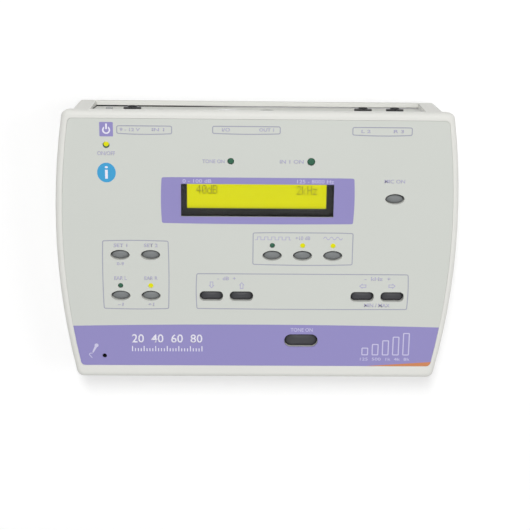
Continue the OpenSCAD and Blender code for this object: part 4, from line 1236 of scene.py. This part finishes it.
PLATE_HEAD = 2.25
CASE_SCREW, CASE_HEAD = 13.2, 2.8
plate_low, plate_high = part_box("rear_panel_screws")
plate_screws = []
for side in (-1, 1):
    spot = (side * (plate_high.x - PLATE_HEAD * MM), plate_high.y, (plate_low.z + plate_high.z) / 2)
    plate_screws.append(place(screw(PLATE_HEAD, 1.05, 1.05, 4.35, 2.8), Matrix.Translation(spot) @ OUT_OF_REAR))
stand_in(join(plate_screws), "rear_panel_screws", 35)
low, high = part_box("case_screws")
case_screws = []
for x in (low.x + CASE_HEAD * MM, high.x - CASE_HEAD * MM):
    for y, z in ((low.y + CASE_HEAD * MM, low.z), (high.y - CASE_HEAD * MM, high.z - CASE_SCREW * MM)):
        down = Matrix.Translation((x, y, z)) @ Matrix.Rotation(math.pi, 4, "X")
        case_screws.append(place(screw(CASE_HEAD, 2.2, 1.25, CASE_SCREW, 3.8), down))
stand_in(join(case_screws), "case_screws", 35)
print("screws:", len(plate_screws) + len(case_screws))

# %% Feet and sockets
FOOT = 6.0
FOOT_RINGS = [(4.0, 0.45), (4.6, 0), (5.5, 0), (5.85, 0.15), (FOOT, 0.5), (FOOT, 3.8)]
low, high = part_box("rubber_feet")
feet = [place(turned(FOOT_RINGS), Matrix.Translation((x, y, 0)))
        for x in (low.x + FOOT * MM, high.x - FOOT * MM) for y in (low.y + FOOT * MM, high.y - FOOT * MM)]
stand_in(join(feet), "rubber_feet", 40)
for node, soften in {"power_button": 0.5, "usb_socket": 0.12, "round_socket": 0.15, "power_inlet": 0.2}.items():
    remake(node, soften)

# %% [markdown]
# ## Dark strip at the connector plate
# A dark line runs along the foot of the plate and up its two ends. It is painted shade: a
# dark strip laid in the tub's groove where the seam lies in shadow. The shadow weakens towards
# the right, so the strip tapers and its colour pales along X. Three bevelled bars make it.

# %% Dark strip at the connector plate
DARK_UP_TO, PALE_FROM = -55 * MM, 4 * MM
# The strip's colour is painted shade: near black at the left, paling towards the right where the seam's shadow
# weakens.
plate_strip_shade, tree, principled = shader("plate_strip_shade")
shade_fading = ramp(tree, where_on(tree, "X"), DARK_UP_TO, PALE_FROM, curve="SMOOTHSTEP")
strip_look = grained(tree, mix(tree, shade_fading, paint(38, 38, 40), paint(204, 203, 206)), 1800.0, 40.0, 0.08, 0.85)
surface(tree, principled, strip_look, strip_look["Height"], 0.5)
principled.inputs["Specular IOR Level"].default_value = 0.2

GROOVE_FLOOR, STRIP_TOP, LEG_FOOT, LEG_TOP = 6 * MM, 7.1 * MM, 8 * MM, 45.5 * MM
RECESS_END = 109.5 * MM
TAPER = 0.4 * MM
strip = block((-RECESS_END + 0.1 * MM, REAR_WALL + 0.02 * MM, GROOVE_FLOOR),
              (RECESS_END - 0.1 * MM, REAR_WALL + 0.86 * MM, STRIP_TOP))
open_parts(strip, "VERT", lambda point: point.x > 0 and point.y > REAR_WALL + 0.5 * MM)
bpy.ops.transform.translate(value=(0, -TAPER, 0))
close()
left_leg, right_leg = (
    block((start, REAR_WALL - 0.1 * MM, LEG_FOOT), (end, REAR_WALL + 0.3 * MM, LEG_TOP))
    for start, end in ((-RECESS_END, -RECESS_END + 0.6 * MM), (RECESS_END - 0.4 * MM, RECESS_END)))
shade_strip = join([strip, left_leg, right_leg])
modify(shade_strip, "BEVEL", width=0.08 * MM, segments=2)
settle(shade_strip, "plate-shade-strip", plate_strip_shade, smooth=40)
print("gasket bars: 3")
